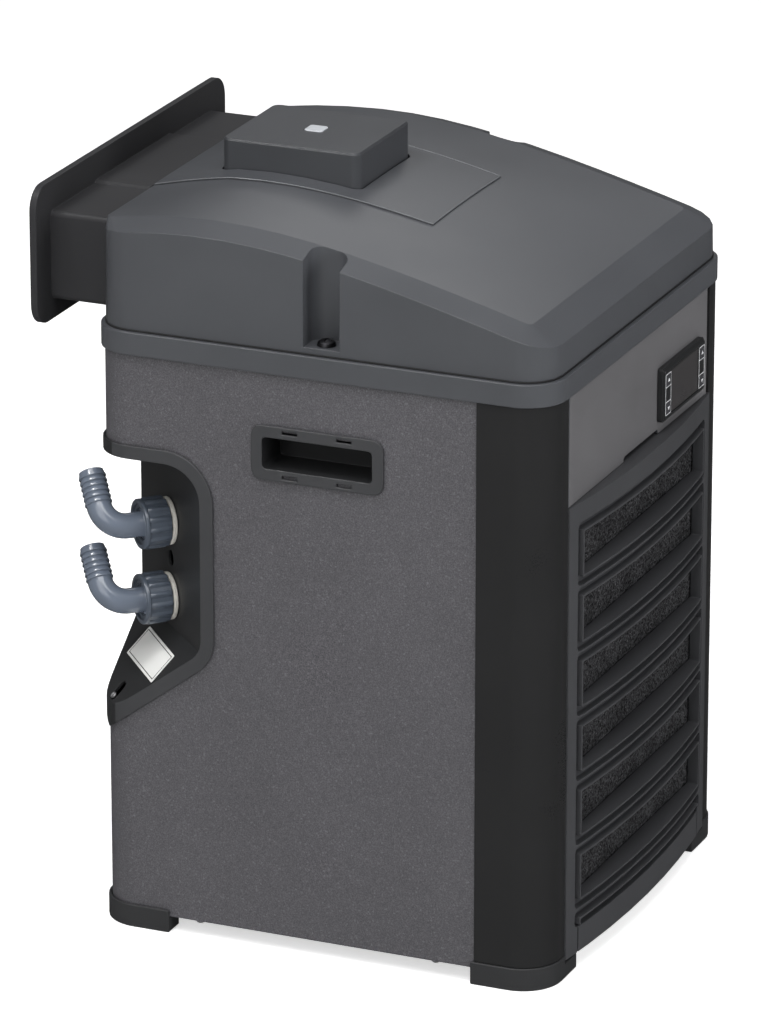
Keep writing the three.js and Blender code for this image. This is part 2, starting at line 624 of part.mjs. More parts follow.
// A hose elbow with a barbed tail and the collar that the union nut clamps.
function hoseElbow() {
  const { start, bore } = ELBOW;
  const core = UNION.pipe;
  const barbed = (length) => {
    const teeth = 6;
    const profile = [[0, -length], [core, -length]];
    for (let i = 0; i < teeth; i++) {
      const low = -length + 1.5 + ((length - 2.5) * i) / teeth;
      profile.push([core - 0.3, low], [core + 0.6, low + 1]);
    }
    return turned([...profile, [core - 0.4, 0], [0, 0]], 16);
  };
  const body = join(bent(core, start, barbed, 16), cylinder(UNION.spigot - 0.2, start, start + 3.4));
  const through = bent(bore, start - 1, (length) => cylinder(bore, -length, 1, 0, 0, 10), 10);
  const turn = ELBOW.swivel * DEGREE;
  const aside = [Math.cos(turn), Math.sin(turn), 0];
  return turnedTo(cut(body, through), aside, [-aside[1], aside[0], 0]);
}

// ---- Controller ---------------------------------------------------------------------------------
function controllerBody() {
  const { x, z, width, height, proud, bodyWidth, bodyHeight } = CONTROLLER;
  const front = FASCIA.front - GAP;
  const face = (inset) => {
    const [halfWidth, halfHeight] = [width / 2 - inset, height / 2 - inset];
    return rectangle(-halfWidth, halfWidth, -halfHeight, halfHeight, 2);
  };
  const bezel = [0, 0.8, 1.6].map((inset) => across(face(inset), front - proud + 1.6 - inset, front, 3));
  const body = block(-bodyWidth / 2, bodyWidth / 2, front - 1, front + 58, -bodyHeight / 2, bodyHeight / 2);
  const well = across(rectangle(-25.4, 25.4, -15.4, 15.4, 1), front - proud - 1, front - proud + 2, 3);
  const keyWell = ([kx, kz]) => block(kx - 4.6, kx + 4.6, -20, front - 1, kz - 4.3, kz + 4.3);
  const keyWells = keyPlaces().map(keyWell);
  return moved(cut(join(...bezel, body), well, ...keyWells), x, 0, z);
}

const keyPlaces = () => [[-31.6, 9.8], [-31.6, -9.8], [31.6, 9.8], [31.6, -9.8]];

function displayWindow() {
  const front = FASCIA.front - GAP - CONTROLLER.proud;
  const pane = across(rectangle(-25, 25, -15, 15, 0.8), front + 0.2, front + 1.7, 3);
  return moved(pane, CONTROLLER.x, 0, CONTROLLER.z);
}

function controllerKey([kx, kz]) {
  const front = FASCIA.front - GAP - CONTROLLER.proud;
  const key = across(rectangle(kx - 4.2, kx + 4.2, kz - 3.9, kz + 3.9, 0.8), front - 0.5, front + 2.6, 3);
  return moved(key, CONTROLLER.x, 0, CONTROLLER.z);
}

// ---- Inner parts --------------------------------------------------------------------------------
// The fin pack: upright fins on both sides of a middle web, with the tubes' return bends at each end.
function condenser() {
  const { half, y, reach, bottom, top, fins, fin } = COIL;
  const outline = [];
  for (const side of [1, -1])
    for (let i = 0; i <= fins; i++) {
      const x = side * (-half + ((2 * half - fin) * i) / fins);
      const [root, tip] = [y - side, y - side * reach];
      outline.push([x, root], [x, tip], [x + side * fin, tip], [x + side * fin, root]);
    }
  const end = half - 1;
  const bend = (z) =>
    pipe([[end, y, z], [end + 12, y, z + 7], [end + 12, y, z + 23], [end, y, z + 30]], 4, 5);
  const bends = [bend(bottom + 60), bend(bottom + 180)];
  return join(slab(polygon(outline), bottom, top), ...bends, ...bends.map(mirrored));
}

function fanShroud() {
  const { z, radius, y } = FAN;
  const plate = block(-114, 114, y - 12, y - 9.5, COIL.bottom, COIL.top + 2);
  const throat = across(circle(radius + 7, 0, z), y - 12, y + 14, 16);
  return cut(join(plate, throat), across(circle(radius + 4, 0, z), y - 30, y + 30, 16));
}

// Three arms and a hub plate behind the rotor that hold the motor to the shroud.
function motorBracket() {
  const { z, radius, y } = FAN;
  const arm = block(-5, 5, 20, 24, 0, radius + 6);
  const clamp = block(-5, 5, 14.4, 24, radius + 1, radius + 6);
  const hub = across(circle(26, 0, z), y + 20, y + 24, 16);
  const arms = [0, 120, 240].map((angle) =>
    solid(geometryOf(join(arm, clamp)).rotateY(angle * DEGREE).translate(0, y, z)));
  return join(hub, ...arms);
}

const fanMotor = () => moved(across(circle(31, 0, 0), 24.3, 62, 20), 0, FAN.y, FAN.z);

function fanRotor() {
  const { z, radius, y } = FAN;
  const hub = across(circle(27), -8, 14, 20);
  const blade = () => {
    const shape = new THREE.Shape();
    shape.moveTo(20, -14);
    shape.quadraticCurveTo(60, -34, radius, -20);
    shape.quadraticCurveTo(radius + 1, 10, radius - 6, 26);
    shape.quadraticCurveTo(60, 22, 20, 12);
    return across(shape, -1.2, 1.2, 5);
  };
  const blades = [...Array(5).keys()].map((i) =>
    solid(geometryOf(blade()).rotateX(0.3).rotateY(i * 72 * DEGREE)));
  const shaft = across(circle(3), 13, 19.6, 10);
  return moved(join(hub, ...blades, shaft), 0, y, z);
}

function compressor() {
  const { x, y, radius, bottom, top } = COMPRESSOR;
  const profile = [
    [0, bottom], [radius * 0.7, bottom], [radius, bottom + 20],
    [radius, top - 30], [radius * 0.75, top - 8], [radius * 0.35, top], [0, top],
  ];
  const body = turned(profile, 20, x, y);
  const plate = slab(rectangle(x - 68, x + 68, y - 62, y + 62, 14), bottom - 2, bottom + 1.5);
  const holes = grommetPlaces().map(([gx, gy]) => cylinder(4.6, 0, 80, gx, gy, 12));
  return cut(join(body, plate), ...holes);
}

const grommetPlaces = () =>
  [[-58, -50], [58, -50], [-58, 50], [58, 50]].map(([dx, dy]) => [COMPRESSOR.x + dx, COMPRESSOR.y + dy]);

// A rubber foot with a waist that passes through the compressor's base plate.
function grommet([x, y]) {
  const low = COMPRESSOR.bottom - 2;
  const profile = [
    [0, 15 + GAP], [9, 15 + GAP], [9, low - GAP], [4.3, low - GAP],
    [4.3, low + 3.8], [8, low + 3.8], [8, low + 8], [0, low + 8],
  ];
  return turned(profile, 10, x, y);
}

function terminalCover() {
  const { x, y, radius, top } = COMPRESSOR;
  return slab(rectangle(x - 22, x + 22, y - radius - 22, y - radius - GAP, 4), top - 96, top - 48, 3);
}

const exchangerCentre = () => {
  const flat = EXCHANGER.along / Math.SQRT2;
  return [-HALF + flat, BACK - flat];
};

function heatExchanger() {
  const [x, y] = exchangerCentre();
  const { radius, bottom, top } = EXCHANGER;
  const vessel = turned(
    [[0, bottom], [radius - 6, bottom], [radius, bottom + 6], [radius, top - 10], [radius + 4, top - 10],
      [radius + 4, top - 2], [radius - 10, top + 4], [0, top + 4]], 20, x, y,
  );
  const legs = [45, 165, 285].map((angle) => {
    const leg = [x + 34 * Math.cos(angle * DEGREE), y + 34 * Math.sin(angle * DEGREE)];
    return cylinder(5, 15 + GAP, bottom + 8, leg[0], leg[1], 10);
  });
  const brace = slab(circle(39, x, y), 110, 114, 14);
  return join(vessel, brace, ...legs);
}

// The routes of the copper pipes between the compressor, the coil, the drier and the heat exchanger.
function refrigerantPipes() {
  const [ex, ey] = exchangerCentre();
  const { x, y, top } = COMPRESSOR;
  const lidTop = EXCHANGER.top + 4 + GAP;
  const { half, y: coilY } = COIL;
  const suction = [
    [ex + 14, ey, lidTop], [ex + 14, ey, lidTop + 20], [ex + 50, ey + 10, lidTop + 26],
    [x - 30, y + 6, top + 60], [x - 30, y + 6, top + 2],
  ];
  const discharge = [
    [x + 28, y - 8, top + 2], [x + 28, y - 8, top + 46], [x + 44, y - 70, top + 60],
    [half + 22, 70, 318], [half + 22, coilY, 296], [half + 11, coilY, 300],
  ];
  const liquid = [
    [-half - 11, coilY, 60], [DRIER.x - 2, 52, 66], [DRIER.x - 4, 120, 130], [DRIER.x, 172, 190],
  ];
  return {
    suction_pipe: pipe(suction, 5, 20),
    discharge_pipe: pipe(discharge, 4, 22),
    liquid_line: pipe(liquid, 3, 14),
  };
}

function filterDrier() {
  const { x, y, z, length } = DRIER;
  const profile = [
    [0, 0], [3, 0], [4, 5], [11, 14], [11, length - 14], [4, length - 4], [3, length], [0, length],
  ];
  return moved(turned(profile, 16), x, y, z);
}

// The thin restrictor tube, wound in one ring between the drier and the heat exchanger.
function capillaryCoil() {
  const [ringRadius, tubeRadius, sides] = [14, 2.5, 8];
  const profile = [...Array(sides + 1).keys()].map((i) => {
    const angle = (i / sides) * 2 * Math.PI;
    return [ringRadius + tubeRadius * Math.cos(angle), tubeRadius * Math.sin(angle)];
  });
  return moved(turned(profile, 16), DRIER.x, DRIER.y, DRIER.z + DRIER.length + 8);
}

function controlBox() {
  const outer = block(20, 128, 104, 196, 336, 392);
  const inner = block(22, 126, 106, 194, 338, 400);
  return cut(outer, inner);
}

const controlBoard = () => block(26, 122, 110, 190, 343, 344.6);

// A screw with a domed cross head that sits on z = 0.
function crossScrew(radius, length) {
  const shank = radius * 0.45;
  const profile = [
    [0, -length], [shank, -length], [shank, 0], [radius, 0],
    [radius * 0.9, radius * 0.4], [radius * 0.5, radius * 0.62], [0, radius * 0.7],
  ];
  const reach = radius * 0.6;
  const slot = block(-reach, reach, -0.5, 0.5, radius * 0.3, radius);
  const cross = block(-0.5, 0.5, -reach, reach, radius * 0.3, radius);
  return cut(turned(profile, 12), slot, cross);
}

// ---- Assembly -----------------------------------------------------------------------------------
const unit = new THREE.Group();

function piece(name, body, paint, parent = unit) {
  const mesh = new THREE.Mesh(geometryOf(body), paint);
  mesh.name = name;
  parent.add(mesh);
}

function assembleCasing() {
  piece("base_tray", baseTray(), PAINT.black);
  piece("foot_front_left", frontFoot(), PAINT.body);
  piece("foot_front_right", mirrored(frontFoot()), PAINT.body);
  piece("foot_back_left", atBack(foot()), PAINT.body);
  piece("foot_back_right", mirrored(atBack(foot())), PAINT.body);
  piece("upright_left", upright(), PAINT.gloss);
  piece("upright_right", mirrored(upright()), PAINT.gloss);
  piece("side_panel_left", sidePanel(true), PAINT.sheet);
  piece("side_panel_right", sidePanel(false), PAINT.sheet);
  piece("back_panel", backPanel(), PAINT.sheet);
  piece("mains_inlet", mainsInlet(), PAINT.black);
  piece("collar_fascia", collar(), PAINT.body);
  piece("handle_left", handle(), PAINT.body);
  piece("handle_right", mirrored(handle()), PAINT.body);
  piece("hose_recess", hoseRecess(), PAINT.black);
  const tilt = -3.3 * DEGREE;
  const label = geometryOf(slab(rectangle(-12, 12, -27, 27, 0.8), GAP, GAP + 0.4, 1)).rotateZ(tilt);
  piece("blank_label", onFloor(solid(label), 41, 4), PAINT.label);
  piece("recess_screw", onFloor(crossScrew(2.6, 6), 15.5), PAINT.steel);
}

function assembleLid() {
  piece("lid", lid(), PAINT.body);
  piece("module_cover", moduleCover(), PAINT.body);
  piece("module_button", moduleButton(), PAINT.light);
  piece("exhaust_duct", exhaustDuct(), PAINT.black);
  const { x, y, head, length } = LID_SCREW;
  const screw = moved(crossScrew(head, length), -HALF + x, y, POCKET.floor + GAP);
  piece("lid_screw_left", screw, PAINT.steel);
  piece("lid_screw_right", mirrored(screw), PAINT.steel);
}

function assembleFront() {
  piece("front_grille", frontGrille(), PAINT.body);
  piece("filter_mat", filterMat(), PAINT.foam);
  piece("controller_body", controllerBody(), PAINT.black);
  piece("display_window", displayWindow(), PAINT.screen);
  const names = ["key_left_upper", "key_left_lower", "key_right_upper", "key_right_lower"];
  keyPlaces().forEach((place, i) => piece(names[i], controllerKey(place), PAINT.key));
}

function assembleUnions() {
  for (const [level, height] of Object.entries(PORT_HEIGHTS)) {
    piece("port_spigot_" + level, alongPort(spigot(), height), PAINT.grey);
    piece("port_gasket_" + level, alongPort(portGasket(), height), PAINT.gasket);
    piece("union_nut_" + level, alongPort(unionNut(), height), PAINT.grey);
    piece("hose_elbow_" + level, alongPort(hoseElbow(), height), PAINT.grey);
  }
}

function assembleInside() {
  piece("condenser_coil", condenser(), PAINT.aluminium);
  piece("fan_shroud", fanShroud(), PAINT.black);
  piece("motor_bracket", motorBracket(), PAINT.steel);
  piece("fan_motor", fanMotor(), PAINT.black);
  piece("fan_rotor", fanRotor(), PAINT.black);
  piece("compressor", compressor(), PAINT.black);
  grommetPlaces().forEach((place, i) => {
    piece("compressor_grommet_" + (i + 1), grommet(place), PAINT.rubber);
  });
  piece("terminal_cover", terminalCover(), PAINT.black);
  piece("heat_exchanger", heatExchanger(), PAINT.grey);
  for (const [name, body] of Object.entries(refrigerantPipes())) piece(name, body, PAINT.copper);
  piece("filter_drier", filterDrier(), PAINT.copper);
  piece("capillary_coil", capillaryCoil(), PAINT.copper);
  piece("control_box", controlBox(), PAINT.black);
  piece("control_board", controlBoard(), PAINT.board);
}

assembleCasing();
assembleLid();
assembleFront();
assembleUnions();
assembleInside();

// The origin is the middle of the unit's bounding box, on the floor.
const bounds = new THREE.Box3().setFromObject(unit);
const centre = bounds.getCenter(new THREE.Vector3());
unit.position.set(-centre.x, -centre.y, -bounds.min.z);

export default unit;
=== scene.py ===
"""Heat pump unit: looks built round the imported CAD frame. Metres, +Z up, -Y out of the front intake."""

import json
import math

import bmesh
import bpy
from mathutils import Matrix, Vector, noise
from mathutils.bvhtree import BVHTree


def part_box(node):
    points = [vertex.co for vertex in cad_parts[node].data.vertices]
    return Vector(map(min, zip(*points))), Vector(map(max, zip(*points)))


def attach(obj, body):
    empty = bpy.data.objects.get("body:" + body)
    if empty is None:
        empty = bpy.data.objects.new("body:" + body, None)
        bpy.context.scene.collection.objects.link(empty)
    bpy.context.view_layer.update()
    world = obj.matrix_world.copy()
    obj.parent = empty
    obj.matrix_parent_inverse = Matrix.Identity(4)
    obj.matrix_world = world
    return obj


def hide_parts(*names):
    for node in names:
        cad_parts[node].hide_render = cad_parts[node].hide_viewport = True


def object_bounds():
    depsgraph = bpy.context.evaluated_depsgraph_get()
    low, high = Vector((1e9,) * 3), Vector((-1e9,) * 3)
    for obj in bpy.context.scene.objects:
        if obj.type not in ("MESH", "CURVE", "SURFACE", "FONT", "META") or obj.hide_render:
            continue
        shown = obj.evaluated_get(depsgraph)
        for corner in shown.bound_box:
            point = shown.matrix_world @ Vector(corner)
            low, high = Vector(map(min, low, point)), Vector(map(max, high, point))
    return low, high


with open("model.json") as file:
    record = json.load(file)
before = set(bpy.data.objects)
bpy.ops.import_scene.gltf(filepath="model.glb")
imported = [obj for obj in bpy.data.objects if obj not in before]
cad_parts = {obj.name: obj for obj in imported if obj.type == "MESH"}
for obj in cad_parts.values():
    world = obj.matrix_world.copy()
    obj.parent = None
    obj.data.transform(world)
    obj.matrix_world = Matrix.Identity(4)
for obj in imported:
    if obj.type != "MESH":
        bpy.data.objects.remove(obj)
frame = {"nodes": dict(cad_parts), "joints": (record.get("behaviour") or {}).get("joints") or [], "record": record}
cad_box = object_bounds()

MM = 0.001
scene = bpy.context.scene
nodes = frame["nodes"]
body_of_node = {n: b for b, ns in frame["record"]["behaviour"]["bodies"].items() for n in ns}
slot_of_node = {s["node"]: s["material_slot"] for s in frame["record"]["subparts"]}

# ---------------------------------------------------------------- camera
CAMERA_AT = Vector((-4.13456, -1.76364, 1.87087))
CAMERA_AZIMUTH = 1.16642  # from +Y towards +X, along the view
CAMERA_DROP = 0.343606
LENS_MM = 246.1

camera_data = bpy.data.cameras.new("camera")
camera_data.lens = LENS_MM
camera_data.sensor_width = 36.0
camera_data.clip_end = 60.0
camera = bpy.data.objects.new("camera", camera_data)
scene.collection.objects.link(camera)
view = Vector(
    (
        math.sin(CAMERA_AZIMUTH) * math.cos(CAMERA_DROP),
        math.cos(CAMERA_AZIMUTH) * math.cos(CAMERA_DROP),
        -math.sin(CAMERA_DROP),
    )
)
camera.location = CAMERA_AT
camera.rotation_euler = view.to_track_quat("-Z", "Y").to_euler()
scene.camera = camera
scene.view_settings.view_transform = "Standard"


# ---------------------------------------------------------------- materials
# Colours are linear; lengths inside materials are in metres, and noise scales are per metre.
COAT_ROUGHNESS = 0.1
EDGE_SAMPLES = 4


class Shader:
    """A material under construction: one Principled shader and short calls for the nodes before it."""

    def __init__(self, name, color, roughness, metallic=0.0, specular=0.5, coat=0.0):
        self.material = bpy.data.materials.new(name)
        self.material.use_nodes = True
        self.tree = self.material.node_tree
        self.tree.nodes.clear()
        output = self.tree.nodes.new("ShaderNodeOutputMaterial")
        self.main = self.tree.nodes.new("ShaderNodeBsdfPrincipled")
        self.tree.links.new(self.main.outputs[0], output.inputs["Surface"])
        self.main.inputs["Base Color"].default_value = (*color, 1)
        self.main.inputs["Roughness"].default_value = roughness
        self.main.inputs["Metallic"].default_value = metallic
        self.main.inputs["Specular IOR Level"].default_value = specular
        self.main.inputs["Coat Weight"].default_value = coat
        self.main.inputs["Coat Roughness"].default_value = COAT_ROUGHNESS
        self.place = self.tree.nodes.new("ShaderNodeTexCoord").outputs["Object"]
        self.material.diffuse_color = (*color, 1)

    def link(self, output, node, socket):
        self.tree.links.new(output, node.inputs[socket])

    def mapped(self, scale):
        node = self.tree.nodes.new("ShaderNodeMapping")
        self.link(self.place, node, "Vector")
        node.inputs["Scale"].default_value = scale
        return node.outputs[0]

    def noise(self, scale, detail=2.0, rough=0.5, stretch=None):
        node = self.tree.nodes.new("ShaderNodeTexNoise")
        self.link(self.mapped(stretch) if stretch else self.place, node, "Vector")
        node.inputs["Scale"].default_value = scale
        node.inputs["Detail"].default_value = detail
        node.inputs["Roughness"].default_value = rough
        return node.outputs["Fac"]

    def cells(self, scale, output="Distance"):
        node = self.tree.nodes.new("ShaderNodeTexVoronoi")
        self.link(self.place, node, "Vector")
        node.inputs["Scale"].default_value = scale
        return node.outputs[output]

    def ramp(self, value, stops):
        """Turns a value into a colour or a number: stops are (position, grey or colour)."""
        node = self.tree.nodes.new("ShaderNodeValToRGB")
        self.link(value, node, "Fac")
        marks = node.color_ramp.elements
        while len(marks) < len(stops):
            marks.new(0.5)
        for mark, (position, tone) in zip(marks, stops):
            mark.position = position
            mark.color = (tone, tone, tone, 1) if isinstance(tone, float) else (*tone, 1)
        return node.outputs["Color"]

    def range(self, value, low, high, start, end):
        """Takes a value from start..end to low..high."""
        node = self.tree.nodes.new("ShaderNodeMapRange")
        self.link(value, node, "Value")
        for name, number in (("From Min", start), ("From Max", end), ("To Min", low), ("To Max", high)):
            node.inputs[name].default_value = number
        return node.outputs[0]

    def mix(self, factor, first, second, blend="MIX"):
        node = self.tree.nodes.new("ShaderNodeMix")
        node.data_type = "RGBA"
        node.blend_type = blend
        for name, value in (("Factor", factor), ("A", first), ("B", second)):
            socket = [s for s in node.inputs if s.name == name and (name == "Factor" or s.type == "RGBA")][0]
            if isinstance(value, bpy.types.NodeSocket):
                self.tree.links.new(value, socket)
            else:
                socket.default_value = value if isinstance(value, float) else (*value, 1)
        return [s for s in node.outputs if s.type == "RGBA"][0]

    def sum(self, first, second, weight):
        """The first value plus the second one times a weight."""
        node = self.tree.nodes.new("ShaderNodeMath")
        node.operation = "MULTIPLY_ADD"
        self.link(second, node, 0)
        node.inputs[1].default_value = weight
        self.link(first, node, 2)
        return node.outputs[0]

    def bump(self, height, distance, normal=None):
        """A relief whose full height is the distance, over the surface's own direction or a given one."""
        node = self.tree.nodes.new("ShaderNodeBump")
        self.link(height, node, "Height")
        node.inputs["Distance"].default_value = distance
        node.inputs["Strength"].default_value = 1.0
        if normal is not None:
            self.link(normal, node, "Normal")
        return node.outputs[0]

    def edges(self, radius):
        """The surface's direction with edges softened over a radius, so that they catch a line of light."""
        node = self.tree.nodes.new("ShaderNodeBevel")
        node.samples = EDGE_SAMPLES
        node.inputs["Radius"].default_value = radius
        return node.outputs[0]

    def color(self, output):
        self.link(output, self.main, "Base Color")

    def rough(self, output):
        self.link(output, self.main, "Roughness")

    def normal(self, output):
        self.link(output, self.main, "Normal")


def tinted(color, factor):
    return tuple(c * factor for c in color)


def plastic(
    name, color, roughness, grain=2600.0, depth=0.00002, spread=0.06, specular=0.5, coat=0.0, edge=0.0007
):
    """Moulded plastic: a fine spark-eroded grain, faint cloudy tone, uneven gloss and softened edges."""
    s = Shader(name, color, roughness, specular=specular, coat=coat)
    cloud = s.noise(14.0, 3.0)
    fine = s.noise(grain, 3.0, 0.6)
    tone = s.range(s.sum(cloud, fine, 0.35), 0.0, 1.0, 0.45, 0.9)
    s.color(s.mix(tone, tinted(color, 1 - spread), tinted(color, 1 + spread)))
    s.rough(s.range(s.sum(cloud, fine, 0.5), roughness - 0.05, roughness + 0.06, 0.4, 1.0))
    s.normal(s.bump(fine, depth, normal=s.edges(edge)))
    return s.material


def sparkle_sheet(name, color):
    """Powder-coated sheet: warm dark grey with a dense fleck of lighter and darker grains."""
    s = Shader(name, color, 0.5, specular=0.45)
    grain = s.noise(1150.0, 2.0, 0.7)
    speck = s.cells(900.0, output="Color")
    cloud = s.noise(9.0, 2.0)
    base = s.mix(s.range(cloud, 0.0, 1.0, 0.3, 0.7), tinted(color, 0.95), tinted(color, 1.05))
    toned = s.mix(1.0, base, s.ramp(grain, [(0.3, 0.58), (0.5, 0.96), (0.72, 1.55)]), "MULTIPLY")
    flecked = s.mix(s.ramp(speck, [(0.0, 0.0), (0.8, 0.0), (0.93, 0.5)]), toned, tinted(color, 2.0))
    s.color(flecked)
    s.rough(s.range(grain, 0.42, 0.6, 0.3, 0.7))
    s.normal(s.bump(grain, 0.00004))
    return s.material


def metal(name, color, roughness, stretch):
    """Metal with fine streaks, closer together the more they are stretched, and a cloudy tone."""
    s = Shader(name, color, roughness, metallic=1.0)
    streak = s.noise(900.0, 3.0, 0.6, stretch)
    cloud = s.noise(40.0, 3.0)
    s.color(s.mix(s.range(cloud, 0.0, 1.0, 0.3, 0.7), tinted(color, 0.85), tinted(color, 1.1)))
    s.rough(s.range(streak, roughness - 0.08, roughness + 0.12, 0.3, 0.7))
    s.normal(s.bump(streak, 0.00001))
    return s.material


def foam_material(name, color):
    """Open filter foam: a web of strands with painted glints of light, over pores painted darker for the shade in
    them, in uneven blotches.
    """
    s = Shader(name, color, 0.9, specular=0.25)
    pores = s.cells(430.0)
    strands = s.noise(700.0, 4.0, 0.75)
    blotch = s.noise(45.0, 3.0)
    # Painted shade: the pores are darker than the web between them.
    web = s.mix(s.ramp(pores, [(0.25, 0.0), (0.75, 1.0)]), tinted(color, 0.2), tinted(color, 2.4))
    # Painted highlight: light flecks along the strands stand for glints on the fibres.
    strand_glints = s.mix(s.ramp(strands, [(0.52, 0.0), (0.66, 0.85)]), web, tinted(color, 9.0))
    s.color(s.mix(1.0, strand_glints, s.ramp(blotch, [(0.3, 0.7), (0.7, 1.25)]), "MULTIPLY"))
    s.normal(s.bump(s.sum(pores, strands, 0.8), 0.0009))
    return s.material


def board_material(name, color):
    """A circuit board: lacquered, with faint tracks along one direction."""
    s = Shader(name, color, 0.35, coat=0.3)
    tracks = s.noise(300.0, 2.0, 0.5, (0.15, 1.0, 1.0))
    s.color(s.mix(s.range(tracks, 0.0, 1.0, 0.48, 0.54), color, tinted(color, 1.7)))
    s.normal(s.bump(tracks, 0.00004))
    return s.material


materials = {
    "sheet": sparkle_sheet("sheet", (0.082, 0.0795, 0.0875)),
    "body": plastic("body", (0.064, 0.067, 0.074), 0.35, edge=0.0009),
    "gloss": plastic("gloss", (0.0165, 0.0165, 0.017), 0.3, grain=1500.0, depth=0.000003, specular=0.35),
    "black": plastic("black", (0.019, 0.0195, 0.0205), 0.4, specular=0.35),
    "duct": plastic("duct", (0.031, 0.031, 0.033), 0.4, specular=0.15),
    "pvc": plastic("pvc", (0.128, 0.152, 0.195), 0.2, grain=1800.0, depth=0.00001, specular=0.6, coat=0.7),
    "gasket": plastic("gasket", (0.62, 0.6, 0.55), 0.6),
    "foam": foam_material("foam", (0.016, 0.016, 0.017)),
    "steel": metal("steel", (0.5, 0.5, 0.51), 0.3, (1.0, 1.0, 6.0)),
    "copper": metal("copper", (0.6, 0.25, 0.13), 0.28, (1.0, 1.0, 4.0)),
    "aluminium": metal("aluminium", (0.55, 0.57, 0.6), 0.38, (1.0, 1.0, 8.0)),
    "screen": plastic("screen", (0.04, 0.038, 0.039), 0.3, depth=0.000001, specular=0.3),
    "key": plastic("key", (0.045, 0.045, 0.05), 0.6, grain=3200.0, specular=0.3),
    "light": plastic("light", (0.5, 0.52, 0.55), 0.3, grain=3000.0),
    "rubber": plastic("rubber", (0.013, 0.013, 0.014), 0.75, grain=1400.0, depth=0.00006),
    "enamel": plastic("enamel", (0.012, 0.012, 0.013), 0.25, grain=700.0, depth=0.00004, coat=0.5),
    "board": board_material("board", (0.012, 0.085, 0.035)),
    "label": plastic("label", (0.8, 0.8, 0.78), 0.5, depth=0.000006, spread=0.02),
}
# Finishes of single pieces, over their slot's own.
fascia_finish = plastic("fascia", (0.114, 0.112, 0.117), 0.5, grain=1500.0, depth=0.00003, spread=0.12)
foot_finish = plastic("foot", (0.028, 0.0285, 0.03), 0.5, specular=0.35)
module_finish = plastic("module", (0.05, 0.0525, 0.058), 0.35, edge=0.0009)
# bead: lighter than the body, a painted highlight along the pad's edge
pad_highlight_finish = plastic("bead", (0.112, 0.117, 0.125), 0.3)
# rim: the handles' own tone, and painted light on the hose recess's rim
rim_tone_and_light_finish = plastic("rim", (0.043, 0.044, 0.047), 0.38)
# well: painted shade for the handles' wells
well_shade_finish = plastic("well", (0.018, 0.0185, 0.0195), 0.36, specular=0.35)
nut_finish = plastic("nut", (0.076, 0.093, 0.12), 0.26, grain=1800.0, depth=0.00001, specular=0.6, coat=0.4)
screw_finish = metal("screw", (0.05, 0.05, 0.055), 0.35, (1.0, 1.0, 3.0))
grille_finish = plastic("grille", (0.05, 0.051, 0.055), 0.4, specular=0.5)
print_finish = plastic("print", (0.72, 0.73, 0.75), 0.45, depth=0.000002, spread=0.03)
ink_finish = plastic("ink", (0.02, 0.02, 0.02), 0.5, depth=0.000002)

# ---------------------------------------------------------------- rounded copies of the CAD nodes
WELD = 0.06 * MM
SLIVER = 0.01 * MM
FLAT = math.radians(0.25)
SHARP = math.radians(32)
UPRIGHT = 0.35  # an upright face's normal has less than this along Z
WIDTHS_MM = (0.8, 0.6, 0.45, 0.3, 0.2, 0.12)
SEGMENTS = 3  # across a rounded edge
ENOUGH = 0.85  # share of the sharp edges that a width has to reach
ROOM = 0.9  # share of the free length that a bevel may take, halved where two bevels share it
FACE_WEIGHT = 80  # of large faces over small ones in the smooth shading


def room_for_bevel(edge, sharp):
    """The widest bevel that this edge takes before it meets another edge of its faces."""
    room = 1.0
    start = edge.verts[0].co
    along = (edge.verts[1].co - start).normalized()
    length = edge.calc_length()
    for loop in edge.link_loops:
        shrink = 0.0
        ends = ((loop.link_loop_next.vert, loop.link_loop_next.edge), (loop.vert, loop.link_loop_prev.edge))
        for v, near in ends:
            side = near.other_vert(v).co - v.co
            angle = (edge.other_vert(v).co - v.co).angle(side, 0)
            if near not in sharp:
                taken = any(x in sharp for x in near.other_vert(v).link_edges)
                room = min(room, (ROOM / 2 if taken else ROOM) * side.length * max(math.sin(angle), 0.02))
            elif angle < math.pi - 0.01:
                shrink += 1 / math.tan(max(angle / 2, 0.05))
        if shrink > 1e-6:
            room = min(room, ROOM * length / shrink)
        for other in loop.face.edges:
            if other is edge or any(v in edge.verts for v in other.verts):
                continue
            for v in other.verts:
                offset = v.co - start
                t = offset.dot(along)
                if -1e-5 < t < length + 1e-5:
                    room = min(room, (offset - along * t).length * (ROOM / 2 if other in sharp else ROOM))
    return room


def crossings(bm):
    """How many pairs of faces cut through each other."""
    copy = bm.copy()
    bmesh.ops.triangulate(copy, faces=copy.faces)
    tree = BVHTree.FromBMesh(copy, epsilon=0)
    copy.faces.ensure_lookup_table()
    found = sum(
        1
        for i, j in tree.overlap(tree)
        if i < j and not set(copy.faces[i].verts) & set(copy.faces[j].verts)
    )
    copy.free()
    return found


